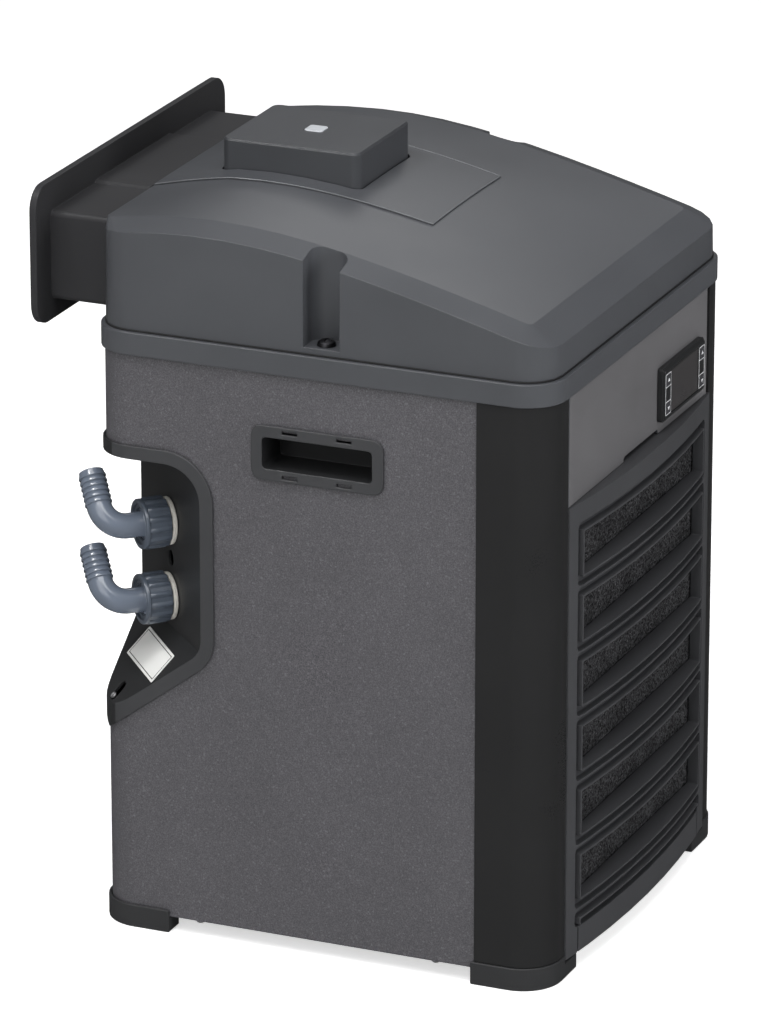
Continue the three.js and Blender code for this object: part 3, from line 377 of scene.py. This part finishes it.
def rounded_mesh(node):
    """The node's mesh with its triangles joined into faces and its sharp edges rounded where they can be."""
    base = bmesh.new()
    base.from_mesh(nodes[node].data)
    bmesh.ops.remove_doubles(base, verts=base.verts, dist=WELD)
    bmesh.ops.dissolve_degenerate(base, edges=base.edges, dist=SLIVER)
    bmesh.ops.dissolve_limit(base, angle_limit=FLAT, verts=base.verts, edges=base.edges)
    base.normal_update()
    base.edges.index_update()
    sharp = {e for e in base.edges if len(e.link_faces) == 2 and e.calc_face_angle(0) > SHARP}
    rooms = {e.index: room_for_bevel(e, sharp) for e in sharp}
    already = crossings(base)
    best, best_share = base, 0.0
    for width in WIDTHS_MM:
        chosen = [i for i, room in rooms.items() if room >= width * MM]
        share = len(chosen) / max(1, len(rooms))
        if share <= best_share:
            continue
        bm = base.copy()
        bm.edges.ensure_lookup_table()
        bmesh.ops.bevel(
            bm,
            geom=[bm.edges[i] for i in chosen],
            offset=width * MM,
            offset_type="OFFSET",
            segments=SEGMENTS,
            profile=0.5,
            affect="EDGES",
            clamp_overlap=False,
        )
        if all(len(e.link_faces) == 2 for e in bm.edges) and crossings(bm) <= already:
            best, best_share = bm, share
            if share >= ENOUGH:
                break
    mesh = bpy.data.meshes.new(node)
    best.normal_update()
    best.to_mesh(mesh)
    return mesh


def smooth_faces(mesh, crease):
    """Smooth shading with sharp edges where faces turn by more than the crease angle. Between two upright
    faces only a real corner is sharp, so round corners stay smooth."""
    mesh.shade_smooth()
    bm = bmesh.new()
    bm.from_mesh(mesh)
    for edge in bm.edges:
        upright = all(abs(face.normal.z) < UPRIGHT for face in edge.link_faces)
        edge.smooth = edge.calc_face_angle(math.pi) <= (SHARP if upright else crease)
    bm.to_mesh(mesh)
    bm.free()


def piece(name, mesh, body, slot, replaced=(), material=None, crease=SHARP, weighted=True):
    """A visible mesh that rides on a body, with its finish and its smooth shading."""
    smooth_faces(mesh, crease)
    mesh.materials.clear()
    mesh.materials.append(material or materials[slot])
    obj = bpy.data.objects.new(name, mesh)
    scene.collection.objects.link(obj)
    if weighted:
        modifier = obj.modifiers.new("weighted", "WEIGHTED_NORMAL")
        modifier.keep_sharp = True
        modifier.weight = FACE_WEIGHT
    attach(obj, body)
    if replaced:
        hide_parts(*replaced)
    return obj


def box_mm(node):
    """The two corners of a node's box in the row frame, in millimetres."""
    return [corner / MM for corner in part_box(node)]


def mesh_from(name, points, faces, place=Matrix()):
    """A mesh in the row frame from points in millimetres and their faces, turned to face outwards."""
    bm = bmesh.new()
    made = [bm.verts.new(place @ (Vector(p) * MM)) for p in points]
    for face in faces:
        bm.faces.new([made[i] for i in face])
    bmesh.ops.recalc_face_normals(bm, faces=bm.faces)
    mesh = bpy.data.meshes.new(name)
    bm.to_mesh(mesh)
    bm.free()
    return mesh


def ring_mesh(name, rings, place):
    """A closed surface through rings of equally many points, the last joined to the first."""
    count = len(rings[0])
    points = [p for ring in rings for p in ring]
    faces = []
    for i in range(len(rings)):
        k = (i + 1) % len(rings)
        for j in range(count):
            m = (j + 1) % count
            faces.append((i * count + j, i * count + m, k * count + m, k * count + j))
    return mesh_from(name, points, faces, place)


# Nodes whose shape is built below.
HAND_MADE = {"filter_mat", "union_nut_upper", "union_nut_lower", "hose_elbow_upper", "hose_elbow_lower"}
FINISHES = {"front_grille": grille_finish, "module_cover": module_finish}
FINISHES.update({n: rim_tone_and_light_finish for n in nodes if n.startswith("handle_")})
FINISHES.update({n: screw_finish for n in nodes if n.startswith("lid_screw")})
FINISHES.update({n: foot_finish for n in nodes if n.startswith("foot_")})
CREASES = {"lid": math.radians(9), "module_cover": math.radians(14)}

fine = {}
for node in sorted(set(nodes) - HAND_MADE):
    fine[node] = piece(
        node + ".fine",
        rounded_mesh(node),
        body_of_node[node],
        slot_of_node[node],
        [node],
        FINISHES.get(node),
        CREASES.get(node, SHARP),
        node != "lid",
    )


def tone_faces(node, finish, chosen):
    """Give the faces that pass a test, of centre and normal in the row frame, a second finish."""
    mesh = fine[node].data
    mesh.materials.append(finish)
    for polygon in mesh.polygons:
        if chosen(polygon.center, polygon.normal):
            polygon.material_index = 1


# The flat front under the collar has the tone of the sheets, without their sparkle.
FASCIA_TOP = 408.5 * MM
FASCIA_DEPTH = 12 * MM
COLLAR_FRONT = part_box("collar_fascia")[0].y
tone_faces(
    "collar_fascia",
    fascia_finish,
    lambda at, facing: facing.y < -0.95 and at.z < FASCIA_TOP and at.y < COLLAR_FRONT + FASCIA_DEPTH,
)
# Painted shade: the handles' faces deeper than the rim depth get a darker finish than their rims, for the shade in
# their wells.
RIM_DEPTH = 3 * MM
for node in ("handle_left", "handle_right"):
    face_x = max(abs(corner.x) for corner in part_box(node))
    tone_faces(node, well_shade_finish, lambda at, facing, face_x=face_x: abs(at.x) < face_x - RIM_DEPTH)
# Painted light: the hose recess's outer rim, on the same dark insert, gets the lighter rim finish for the light
# its outward faces catch.
recess_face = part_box("hose_recess")[0].x
tone_faces("hose_recess", rim_tone_and_light_finish, lambda at, facing: at.x < recess_face + RIM_DEPTH)

# ---------------------------------------------------------------- lid crown
# The crown's height over the cabinet's depth is an arch, with a low dome across; all in millimetres from
# the middle of the front.
CROWN_MM = {"at": 252, "drop": 39, "reach": 122, "dome": 6, "half": 140.2, "front": 23.8, "back": 331}
RISE_MM, FALL_MM, EASE_MM = 90, 60, 30
CROWN_ANGLE = math.radians(7)
CABINET_FRONT_MM = COLLAR_FRONT / MM


def ramp_of(value, length, ease):
    """A rise from 0 to 1 over a length, whose upper end is eased, and its slope."""
    if value <= length - ease:
        return max(0.0, value / length), 1 / length if value > 0 else 0.0
    share = min(1.0, (value - length + ease) / (2 * ease))
    return min(1.0, value / length), (1 - share * share * (3 - 2 * share)) / length


def crown_normal(point):
    """The crown's own direction over a point in the row frame."""
    c = CROWN_MM
    y = point.y / MM - CABINET_FRONT_MM
    share = max(-1.0, min(1.0, point.x / MM / c["half"]))
    u = (y - c["at"]) / c["reach"]
    rise, rise_slope = ramp_of(y - c["front"], RISE_MM, EASE_MM)
    fall, fall_slope = ramp_of(c["back"] - y, FALL_MM, EASE_MM)
    across = -2 * c["dome"] * share / c["half"] * rise * fall
    swell_slope = rise_slope * fall - rise * fall_slope
    arch_slope = -c["drop"] * u / c["reach"] / math.sqrt(1 + u * u)
    along = arch_slope + c["dome"] * (1 - share * share) * swell_slope
    return Vector((-across, -along, 1)).normalized()


lid_mesh = fine["lid"].data
crown_half = (CROWN_MM["half"] + 0.5) * MM
directions = [Vector()] * len(lid_mesh.loops)
for polygon in lid_mesh.polygons:
    lean = polygon.normal.angle(crown_normal(polygon.center), math.pi)
    if abs(polygon.center.x) < crown_half and lean < CROWN_ANGLE:
        for loop in polygon.loop_indices:
            directions[loop] = crown_normal(lid_mesh.vertices[lid_mesh.loops[loop].vertex_index].co)
lid_mesh.normals_split_custom_set(directions)

# ---------------------------------------------------------------- hose unions
NUT_MM = {"start": 3.8, "end": 22.5, "outer": 17.8, "thread": 13.4, "hole": 11.2, "rib": 1.5}
RIBS = 14
RIB_POINTS = 10
ELBOW_MM = {"start": 16.3, "corner": 46.8, "bend": 16.5, "tail": 41.4}
ELBOW_RADII_MM = {"pipe": 8.6, "bore": 6.6, "collar": 12.8}
ELBOW_SWIVEL = math.radians(38.5)
BEND_STEPS, BORE_STEPS = 16, 10
BARBS = 6
ROUND = 64  # points round a pipe


def union_nut():
    """Rings of a ribbed nut about +Z: rounded ridges, a plain rim in front and a step down to the hole."""
    n = NUT_MM
    count = RIBS * RIB_POINTS

    def ring(z, radius, rib=0.0):
        points = []
        for i in range(count):
            turn = 2 * math.pi * i / count
            wave = max(0.0, math.cos(turn * RIBS)) ** 0.6
            r = radius + rib * wave
            points.append((r * math.cos(turn), r * math.sin(turn), z))
        return points

    start, end, rib = n["start"], n["end"], n["rib"]
    root = n["outer"] - rib
    # Each row is a height, a radius and how far the ribs stand out there.
    ribbed = [(start, root - 0.8, 0.3), (start + 0.6, root, 0.9), (start + 1.6, root, rib)]
    ribbed += [(start + 6, root, rib), (start + 11, root, rib), (end - 4.2, root, rib)]
    ribbed += [(end - 3.1, root, 0.9), (end - 2.7, root + 0.3, 0.2)]
    rim = [(end - 2.4, root + 0.9), (end - 0.8, root + 0.9), (end - 0.25, root + 0.6), (end, root)]
    rim += [(end, root - 2.0), (end - 0.3, root - 2.3), (end - 1.5, root - 2.5), (end - 1.7, root - 2.8)]
    hole = [(end - 1.7, n["hole"] + 0.3), (end - 2.0, n["hole"]), (end - 2.5, n["hole"])]
    hole += [(end - 2.5, n["thread"]), (start, n["thread"])]
    return [ring(*row) for row in ribbed + rim + hole]


def hose_elbow():
    """Rings of a bent pipe along +Z that turns up along its swivelled tail, with barbs and a bore."""
    e = ELBOW_MM
    up = Vector((-math.sin(ELBOW_SWIVEL), math.cos(ELBOW_SWIVEL), 0))
    out = Vector((0, 0, 1))
    side = out.cross(up)
    leg = e["corner"] - e["bend"] - e["start"]
    arc = e["bend"] * math.pi / 2
    total = leg + arc + e["tail"] - e["bend"]

    def frame_at(s):
        """The point a length along the pipe, and one direction across it there."""
        if s < leg:
            return out * (e["start"] + s), up
        if s < leg + arc:
            turn = (s - leg) / e["bend"]
            hub = out * (e["corner"] - e["bend"]) + up * e["bend"]
            radial = out * math.sin(turn) - up * math.cos(turn)
            return hub + radial * e["bend"], -radial
        return out * e["corner"] + up * (e["bend"] + s - leg - arc), -out

    def ring(s, radius):
        at, across = frame_at(s)
        return [
            at + (across * math.cos(t) + side * math.sin(t)) * radius
            for t in (2 * math.pi * i / ROUND for i in range(ROUND))
        ]

    # Each row is a length along the pipe and a radius there.
    pipe, bore, collar = ELBOW_RADII_MM["pipe"], ELBOW_RADII_MM["bore"], ELBOW_RADII_MM["collar"]
    outer = [(0, collar - 0.4), (0.3, collar), (3.1, collar), (3.4, collar - 0.4)]
    outer += [(3.5, pipe + 1.2), (3.9, pipe + 0.5), (4.8, pipe), (leg * 0.6, pipe)]
    outer += [(leg + arc * i / BEND_STEPS, pipe) for i in range(BEND_STEPS + 1)]
    pitch = (total - leg - arc - 2.4) / BARBS
    for i in range(BARBS):
        low = leg + arc + 1.0 + pitch * i
        outer += [(low - 0.25, pipe - 0.15), (low, pipe + 0.1), (low + 0.12, pipe + 0.72)]
        outer += [(low + 0.45, pipe + 0.85), (low + 0.8, pipe + 0.8), (low + pitch - 0.3, pipe - 0.1)]
    outer += [(total - 0.9, pipe - 0.2), (total - 0.25, pipe - 0.35), (total, pipe - 0.8)]
    inner = [(total, bore + 0.3), (total - 0.4, bore)]
    inner += [(leg + arc * i / BORE_STEPS, bore) for i in range(BORE_STEPS, -1, -1)]
    inner += [(0, bore)]
    return [ring(*row) for row in outer + inner]


# Each union stands on its nut's joint, with +Z along the nut's axis and +Y up.
joints = {j["name"]: j for j in frame["joints"]}
for level in ("upper", "lower"):
    joint = joints[f"nut_{level}_turn"]
    out = Vector(joint["axis"]).normalized()
    up = Vector((0, 0, 1))
    place = Matrix((up.cross(out), up, out)).transposed().to_4x4()
    place.translation = Vector(joint["pos_m"])
    for kind, rings, finish in (("union_nut", union_nut(), nut_finish), ("hose_elbow", hose_elbow(), None)):
        body = f"{kind.split('_')[1]}_{level}"
        mesh = ring_mesh(body, rings, place)
        piece(f"{kind}_{level}.fine", mesh, body, "pvc", [f"{kind}_{level}"], finish, weighted=False)

# ---------------------------------------------------------------- filter mat
CELL_MM = 1.6
FLUFF_MM = 0.55
FINE_FLUFF = {"scale": 0.9, "slice": 3.1, "share": 0.6}  # noise over millimetres
COARSE_FLUFF = {"scale": 0.28, "slice": 7.7, "share": 0.48}


def filter_mesh():
    """A slab of foam: its front is a fine grid, uneven as open foam is, and its back is flat."""
    low, high = box_mm("filter_mat")
    across, rise = round((high.x - low.x) / CELL_MM), round((high.z - low.z) / CELL_MM)
    points, faces = [], []
    for i in range(across + 1):
        for k in range(rise + 1):
            x = low.x + (high.x - low.x) * i / across
            z = low.z + (high.z - low.z) * k / rise
            rim = i in (0, across) or k in (0, rise)
            rough = sum(
                noise.noise((x * f["scale"], f["slice"], z * f["scale"])) * f["share"]
                for f in (FINE_FLUFF, COARSE_FLUFF)
            )
            points.append((x, low.y if rim else low.y + FLUFF_MM * (0.9 + rough), z))
    step = rise + 1
    for i in range(across):
        for k in range(rise):
            a = i * step + k
            faces.append((a, a + step, a + step + 1, a + 1))
    rim = [*range(rise)] + [i * step + rise for i in range(across)]
    rim += [across * step + k for k in range(rise, 0, -1)] + [i * step for i in range(across, 0, -1)]
    first = len(points)
    points += [(points[i][0], high.y, points[i][2]) for i in rim]
    count = len(rim)
    for j in range(count):
        m = (j + 1) % count
        faces.append((rim[j], rim[m], first + m, first + j))
    faces.append(tuple(first + j for j in range(count)))
    return mesh_from("filter_mat", points, faces)


piece("filter_mat.fine", filter_mesh(), "grille", "foam", ["filter_mat"], weighted=False)

# ---------------------------------------------------------------- controller face
CELL_HALF_MM = 4.85
LINE_MM = 0.5
KEY_OUTER_Z_MM = 14.35
KEY_INNER_Z_MM = 5.25
MARK_HALF_MM = 1.9
MARK_RISE_MM = 1.6
PRINT_PROUD_MM = 0.12  # printed lines are thin bars, partly sunk into the face
PRINT_SUNK_MM = 0.1


def bars(name, boxes, body, slot, finish=None, place=Matrix()):
    """One piece of several thin bars, each (x0, x1, y0, y1, z0, z1) in millimetres."""
    points, faces = [], []
    for x0, x1, y0, y1, z0, z1 in boxes:
        n = len(points)
        points += [(x, y, z) for x in (x0, x1) for y in (y0, y1) for z in (z0, z1)]
        quads = ((0, 1, 3, 2), (4, 6, 7, 5), (0, 4, 5, 1), (2, 3, 7, 6), (0, 2, 6, 4), (1, 5, 7, 3))
        faces += [tuple(n + i for i in quad) for quad in quads]
    return piece(name, mesh_from(name, points, faces, place), body, slot, material=finish, weighted=False)


low, high = box_mm("controller_body")
middle_z, front_y, back_y = (low.z + high.z) / 2, low.y - PRINT_PROUD_MM, low.y + PRINT_SUNK_MM
for side in ("left", "right"):
    key_low, key_high = box_mm(f"key_{side}_upper")
    x = (key_low.x + key_high.x) / 2
    lines = [(x + edge - LINE_MM / 2, x + edge + LINE_MM / 2) for edge in (-CELL_HALF_MM, CELL_HALF_MM)]
    boxes = [
        (a, b, front_y, back_y, middle_z - KEY_OUTER_Z_MM, middle_z + KEY_OUTER_Z_MM) for a, b in lines
    ]
    for z in (-KEY_OUTER_Z_MM, -KEY_INNER_Z_MM, KEY_INNER_Z_MM, KEY_OUTER_Z_MM):
        z += middle_z
        boxes.append((lines[0][1], lines[1][0], front_y, back_y, z - LINE_MM / 2, z + LINE_MM / 2))
    bars(f"key_frame_{side}", boxes, "cabinet", "label", print_finish)
    for row, rise in (("upper", MARK_RISE_MM), ("lower", -MARK_RISE_MM)):
        key = f"key_{side}_{row}"
        key_low, key_high = box_mm(key)
        z, y = (key_low.z + key_high.z) / 2, key_low.y
        corners = [(x - MARK_HALF_MM, z - rise / 2), (x + MARK_HALF_MM, z - rise / 2), (x, z + rise)]
        points = [(px, y + depth, pz) for depth in (-PRINT_SUNK_MM, PRINT_SUNK_MM) for px, pz in corners]
        faces = [(0, 1, 2), (3, 4, 5), (0, 1, 4, 3), (1, 2, 5, 4), (2, 0, 3, 5)]
        mark = mesh_from(f"mark_{side}_{row}", points, faces)
        piece(f"key_mark_{side}_{row}", mark, key, "label", material=print_finish, weighted=False)

# ---------------------------------------------------------------- seam shade behind the fascia
# Behind the fascia, a dark strip closes its pull notch and its lower seam to light, and a dark bead its left seam:
# painted shade where the seams would show through.
STRIP_MM = {"front": 6.75, "back": 8.25, "right": 1.5, "over_mat": 0.8, "over_grille": 6.9}
SEAM_BEAD_MM = {"clear": 0.05, "width": 0.2, "front": 1.5, "back": 6.0, "over_grille": 0.5, "top": 409.6}
seam_x = box_mm("upright_left")[1].x + SEAM_BEAD_MM["clear"]
grille_top, mat_top = box_mm("front_grille")[1].z, box_mm("filter_mat")[1].z
bars(
    "fascia_seam_shade",
    [
        (
            seam_x,
            box_mm("upright_right")[0].x - STRIP_MM["right"],
            CABINET_FRONT_MM + STRIP_MM["front"],
            CABINET_FRONT_MM + STRIP_MM["back"],
            mat_top + STRIP_MM["over_mat"],
            grille_top + STRIP_MM["over_grille"],
        ),
        (
            seam_x,
            seam_x + SEAM_BEAD_MM["width"],
            CABINET_FRONT_MM + SEAM_BEAD_MM["front"],
            CABINET_FRONT_MM + SEAM_BEAD_MM["back"],
            grille_top + SEAM_BEAD_MM["over_grille"],
            SEAM_BEAD_MM["top"],
        ),
    ],
    "cabinet",
    "rubber",
)

# ---------------------------------------------------------------- label and screws
LABEL_INSET_MM = 1.8
LABEL_LINE_MM = 0.55
LABEL_LINE_PROUD_MM = 0.06
LABEL_LINE_SUNK_MM = 0.05
LABEL_OUT = Vector((-0.514, 0.514, 0.686)).normalized()
LABEL_ALONG = Vector((-0.734, -0.678, -0.042)).normalized()
LABEL_UP = LABEL_OUT.cross(LABEL_ALONG)

# A thin line runs round the blank label, in the label's own frame: along it, up it and out of it.
label = nodes["blank_label"]
to_label = Matrix((LABEL_ALONG, LABEL_UP, LABEL_OUT))
label_points = [to_label @ (label.matrix_world @ v.co) / MM for v in label.data.vertices]
left, low, _ = (min(p[i] for p in label_points) + LABEL_INSET_MM for i in range(3))
right, high, _ = (max(p[i] for p in label_points) - LABEL_INSET_MM for i in range(3))
face = max(p.z for p in label_points)
depth, line = (face - LABEL_LINE_SUNK_MM, face + LABEL_LINE_PROUD_MM), LABEL_LINE_MM
label_lines = [(left, right, edge, edge + line, *depth) for edge in (low, high - line)]
label_lines += [(edge, edge + line, low + line, high - line, *depth) for edge in (left, right - line)]
bars("label_frame", label_lines, "cabinet", "label", ink_finish, to_label.transposed().to_4x4())


def turned(name, profile, place, count=24):
    """A solid turned about +Z from (radius, height) points in millimetres that start and end on the axis."""
    points, faces = [(0, 0, profile[0][1]), (0, 0, profile[-1][1])], []
    for radius, height in profile[1:-1]:
        points += [
            (radius * math.cos(t), radius * math.sin(t), height)
            for t in (2 * math.pi * i / count for i in range(count))
        ]
    last = 2 + (len(profile) - 3) * count
    for j in range(count):
        m = (j + 1) % count
        faces += [(0, 2 + j, 2 + m), (1, last + m, last + j)]
        faces += [(a + j, a + count + j, a + count + m, a + m) for a in range(2, last, count)]
    return mesh_from(name, points, faces, place)


# Pan-head screws hold each side panel from below; their heads show under its bottom edge.
PAN_HEAD_MM = [(0, 0), (2.6, 0), (3.1, -0.5), (3.0, -1.3), (2.2, -2.0), (0.9, -2.3), (0, -2.3)]
SCREW_Y_MM = (-102, 71)
SCREW_INSET_MM = 4.2
SCREW_SUNK_MM = 0.1
for panel, inward in (("side_panel_left", 1), ("side_panel_right", -1)):
    low, high = box_mm(panel)
    x = (low.x if inward > 0 else high.x) + inward * SCREW_INSET_MM
    for index, y in enumerate(SCREW_Y_MM, 1):
        spot = Matrix.Translation(Vector((x, y, low.z + SCREW_SUNK_MM)) * MM)
        head = turned(f"{panel}_screw_{index}", PAN_HEAD_MM, spot)
        piece(f"{panel}_screw_{index}", head, "cabinet", "steel", weighted=False)

# ---------------------------------------------------------------- lid seam shade and pad highlight bead
SEAM_SHADE_MM = {"low": 425.9, "high": 427.2, "proud": 0.45, "sunk": 0.3, "corner": 24.7}
BEAD_MM = 0.55
BEAD_SUNK = 0.6  # share of the bead's radius by which its middle lies under the pad's face
BEAD_SIDES = 8
PAD_MM = {"front": 127, "half_front": 59, "half_back": 66, "height": 1.2, "back": 326}
PAD_SIDE_STEPS = 40
PAD_FRONT_STEPS = 24
CROWN_PEAK_MM = 503
CORNER_STEPS = 8


def rounded_loop(low, high, radius, z):
    """Points round an upright box's outline at one height, in millimetres, with round corners."""
    centres = [(high.x - radius, high.y - radius), (low.x + radius, high.y - radius)]
    centres += [(low.x + radius, low.y + radius), (high.x - radius, low.y + radius)]
    points = []
    for quarter, (x, y) in enumerate(centres):
        for step in range(CORNER_STEPS + 1):
            turn = (quarter + step / CORNER_STEPS) * math.pi / 2
            points.append((x + radius * math.cos(turn), y + radius * math.sin(turn), z))
    return points


def crown_height(x, y):
    """The crown's height over a point in the row frame, all in millimetres."""
    c = CROWN_MM
    depth = y - CABINET_FRONT_MM
    arch = CROWN_PEAK_MM - c["drop"] * (math.hypot(1, (c["at"] - depth) / c["reach"]) - 1)
    swell = min(1.0, (depth - c["front"]) / RISE_MM) * min(1.0, (c["back"] - depth) / FALL_MM)
    return arch + c["dome"] * (1 - (x / c["half"]) ** 2) * max(0.0, swell)


# Painted shade: a thin dark ring stands in for the shadow in the seam where the lid meets the collar.
low, high = box_mm("lid")
outwards = Vector((1, 1, 0))
seam_shade_rings = []
for edge, level in (("proud", "low"), ("proud", "high"), ("sunk", "high"), ("sunk", "low")):
    out = SEAM_SHADE_MM[edge] if edge == "proud" else -SEAM_SHADE_MM[edge]
    grown = (low - outwards * out, high + outwards * out, SEAM_SHADE_MM["corner"] + out)
    seam_shade_rings.append(rounded_loop(*grown, SEAM_SHADE_MM[level]))
seam_shade_mesh = ring_mesh("lid_seam_shade", seam_shade_rings, Matrix())
piece("lid_seam_shade", seam_shade_mesh, "lid", "rubber", weighted=False)


def pad_edge():
    """Points along the raised pad's edge, from the back left round the front to the back right."""
    p = PAD_MM
    left_side = []
    for i in range(PAD_SIDE_STEPS + 1):
        share = 1 - i / PAD_SIDE_STEPS
        half = p["half_front"] + (p["half_back"] - p["half_front"]) * share
        left_side.append((-half, p["front"] + (p["back"] - p["front"]) * share))
    shares = [2 * i / PAD_FRONT_STEPS - 1 for i in range(1, PAD_FRONT_STEPS)]
    front_side = [(p["half_front"] * share, p["front"]) for share in shares]
    right_side = [(-x, y) for x, y in reversed(left_side)]
    lift = p["height"] - BEAD_MM * BEAD_SUNK
    return [
        Vector((x, y + CABINET_FRONT_MM, crown_height(x, y + CABINET_FRONT_MM) + lift))
        for x, y in left_side + front_side + right_side
    ]


def bead_mesh(name, path):
    """A thin round bead along a path over the crown, with flat ends."""
    n = BEAD_SIDES
    turns = [2 * math.pi * k / n for k in range(n)]
    points, faces = [], [tuple(range(n)), tuple((len(path) - 1) * n + k for k in range(n))]
    for i, at in enumerate(path):
        along = (path[min(i + 1, len(path) - 1)] - path[max(i - 1, 0)]).normalized()
        across = along.cross(crown_normal(at * MM)).normalized()
        rise = across.cross(along)
        points += [at + (across * math.cos(t) + rise * math.sin(t)) * BEAD_MM for t in turns]
        if i:
            last, first = (i - 1) * n, i * n
            faces += [(last + k, last + (k + 1) % n, first + (k + 1) % n, first + k) for k in range(n)]
    return mesh_from(name, points, faces)


# The bead along the pad's edge is lighter than the body: a painted highlight where the edge catches the light.
bead = bead_mesh("pad_highlight_bead", pad_edge())
piece("pad_highlight_bead", bead, "lid", "body", material=pad_highlight_finish, weighted=False)

# ---------------------------------------------------------------- stage
FLOOR_REACH = 40.0
FLOOR_DROP = 0.3 * MM  # below the feet
FLOOR_GLOW = 0.6  # seen by the camera only, so that the floor is white and lights nothing

floor_mesh = bpy.data.meshes.new("floor")
floor_corners = [(x * FLOOR_REACH, y * FLOOR_REACH, 0) for x, y in ((-1, -1), (1, -1), (1, 1), (-1, 1))]
floor_mesh.from_pydata(floor_corners, [], [(0, 1, 2, 3)])
floor = bpy.data.objects.new("floor", floor_mesh)
floor.location.z = cad_box[0][2] - FLOOR_DROP
scene.collection.objects.link(floor)
floor.visible_glossy = False  # reflections see the studio's own soft gradient
paper = Shader("paper", (0.92, 0.92, 0.92), 0.8, specular=0.2)
mottle = paper.range(paper.noise(3.0), 0.0, 1.0, 0.3, 0.7)
paper.color(paper.mix(mottle, (0.91, 0.91, 0.91), (0.93, 0.93, 0.93)))
paper.main.inputs["Emission Color"].default_value = (1.0, 1.0, 1.0, 1.0)
seen = paper.tree.nodes.new("ShaderNodeLightPath").outputs["Is Camera Ray"]
paper.link(paper.range(seen, 0.0, FLOOR_GLOW, 0.0, 1.0), paper.main, "Emission Strength")
floor_mesh.materials.append(paper.material)

# The studio's own light is a soft gradient, brightest on the left.
STUDIO_BRIGHT_SIDE = Vector((-0.97, 0.1, 0.2)).normalized()
STUDIO_DIM, STUDIO_BRIGHT = 0.06, 0.2
STUDIO_SPREAD = 0.9
BACKDROP = 0.73  # past the floor's far edge the camera sees a backdrop as pale as the floor
world = bpy.data.worlds.new("studio")
world.use_nodes = True
tree = world.node_tree
background = tree.nodes["Background"]
background.inputs["Color"].default_value = (1.0, 1.0, 1.0, 1.0)
direction = tree.nodes.new("ShaderNodeTexCoord").outputs["Generated"]
facing = tree.nodes.new("ShaderNodeVectorMath")
facing.operation = "DOT_PRODUCT"
tree.links.new(direction, facing.inputs[0])
facing.inputs[1].default_value = STUDIO_BRIGHT_SIDE
fall = tree.nodes.new("ShaderNodeMapRange")
fall.interpolation_type = "SMOOTHSTEP"
tree.links.new(facing.outputs["Value"], fall.inputs["Value"])
fall.inputs["From Min"].default_value = -STUDIO_SPREAD
fall.inputs["From Max"].default_value = STUDIO_SPREAD
fall.inputs["To Min"].default_value = STUDIO_DIM
fall.inputs["To Max"].default_value = STUDIO_BRIGHT
backdrop = tree.nodes.new("ShaderNodeMix")
tree.links.new(tree.nodes.new("ShaderNodeLightPath").outputs["Is Camera Ray"], backdrop.inputs["Factor"])
tree.links.new(fall.outputs[0], backdrop.inputs["A"])
backdrop.inputs["B"].default_value = BACKDROP
tree.links.new(backdrop.outputs["Result"], background.inputs["Strength"])
scene.world = world

# Each softbox faces the object's centre: its place from there, its size and its power in watts.
SOFTBOXES = {
    "top": ((-0.9, -0.3, 2.2), (2.0, 2.0), 46.0),
    "left": ((-2.2, 0.1, 1.0), (1.6, 1.8), 15.0),
    "front": ((-0.4, -2.6, 0.8), (1.2, 1.4), 42.0),
    "sheen": ((1.9, 0.5, 1.8), (1.1, 1.1), 5.5),
    "key": ((-0.75, 0.9, 2.05), (0.35, 0.35), 13.0),
}
NO_GLARE = {"front"}  # it fills the front, and would glare on the lid seen from behind
centre = (Vector(cad_box[0]) + Vector(cad_box[1])) / 2
for name, (place, size, watts) in SOFTBOXES.items():
    data = bpy.data.lights.new(name, "AREA")
    data.shape = "RECTANGLE"
    data.size, data.size_y = size
    data.energy = watts
    lamp = bpy.data.objects.new(name, data)
    scene.collection.objects.link(lamp)
    lamp.location = centre + Vector(place)
    lamp.rotation_euler = (centre - lamp.location).to_track_quat("-Z", "Y").to_euler()
    lamp.visible_glossy = name not in NO_GLARE
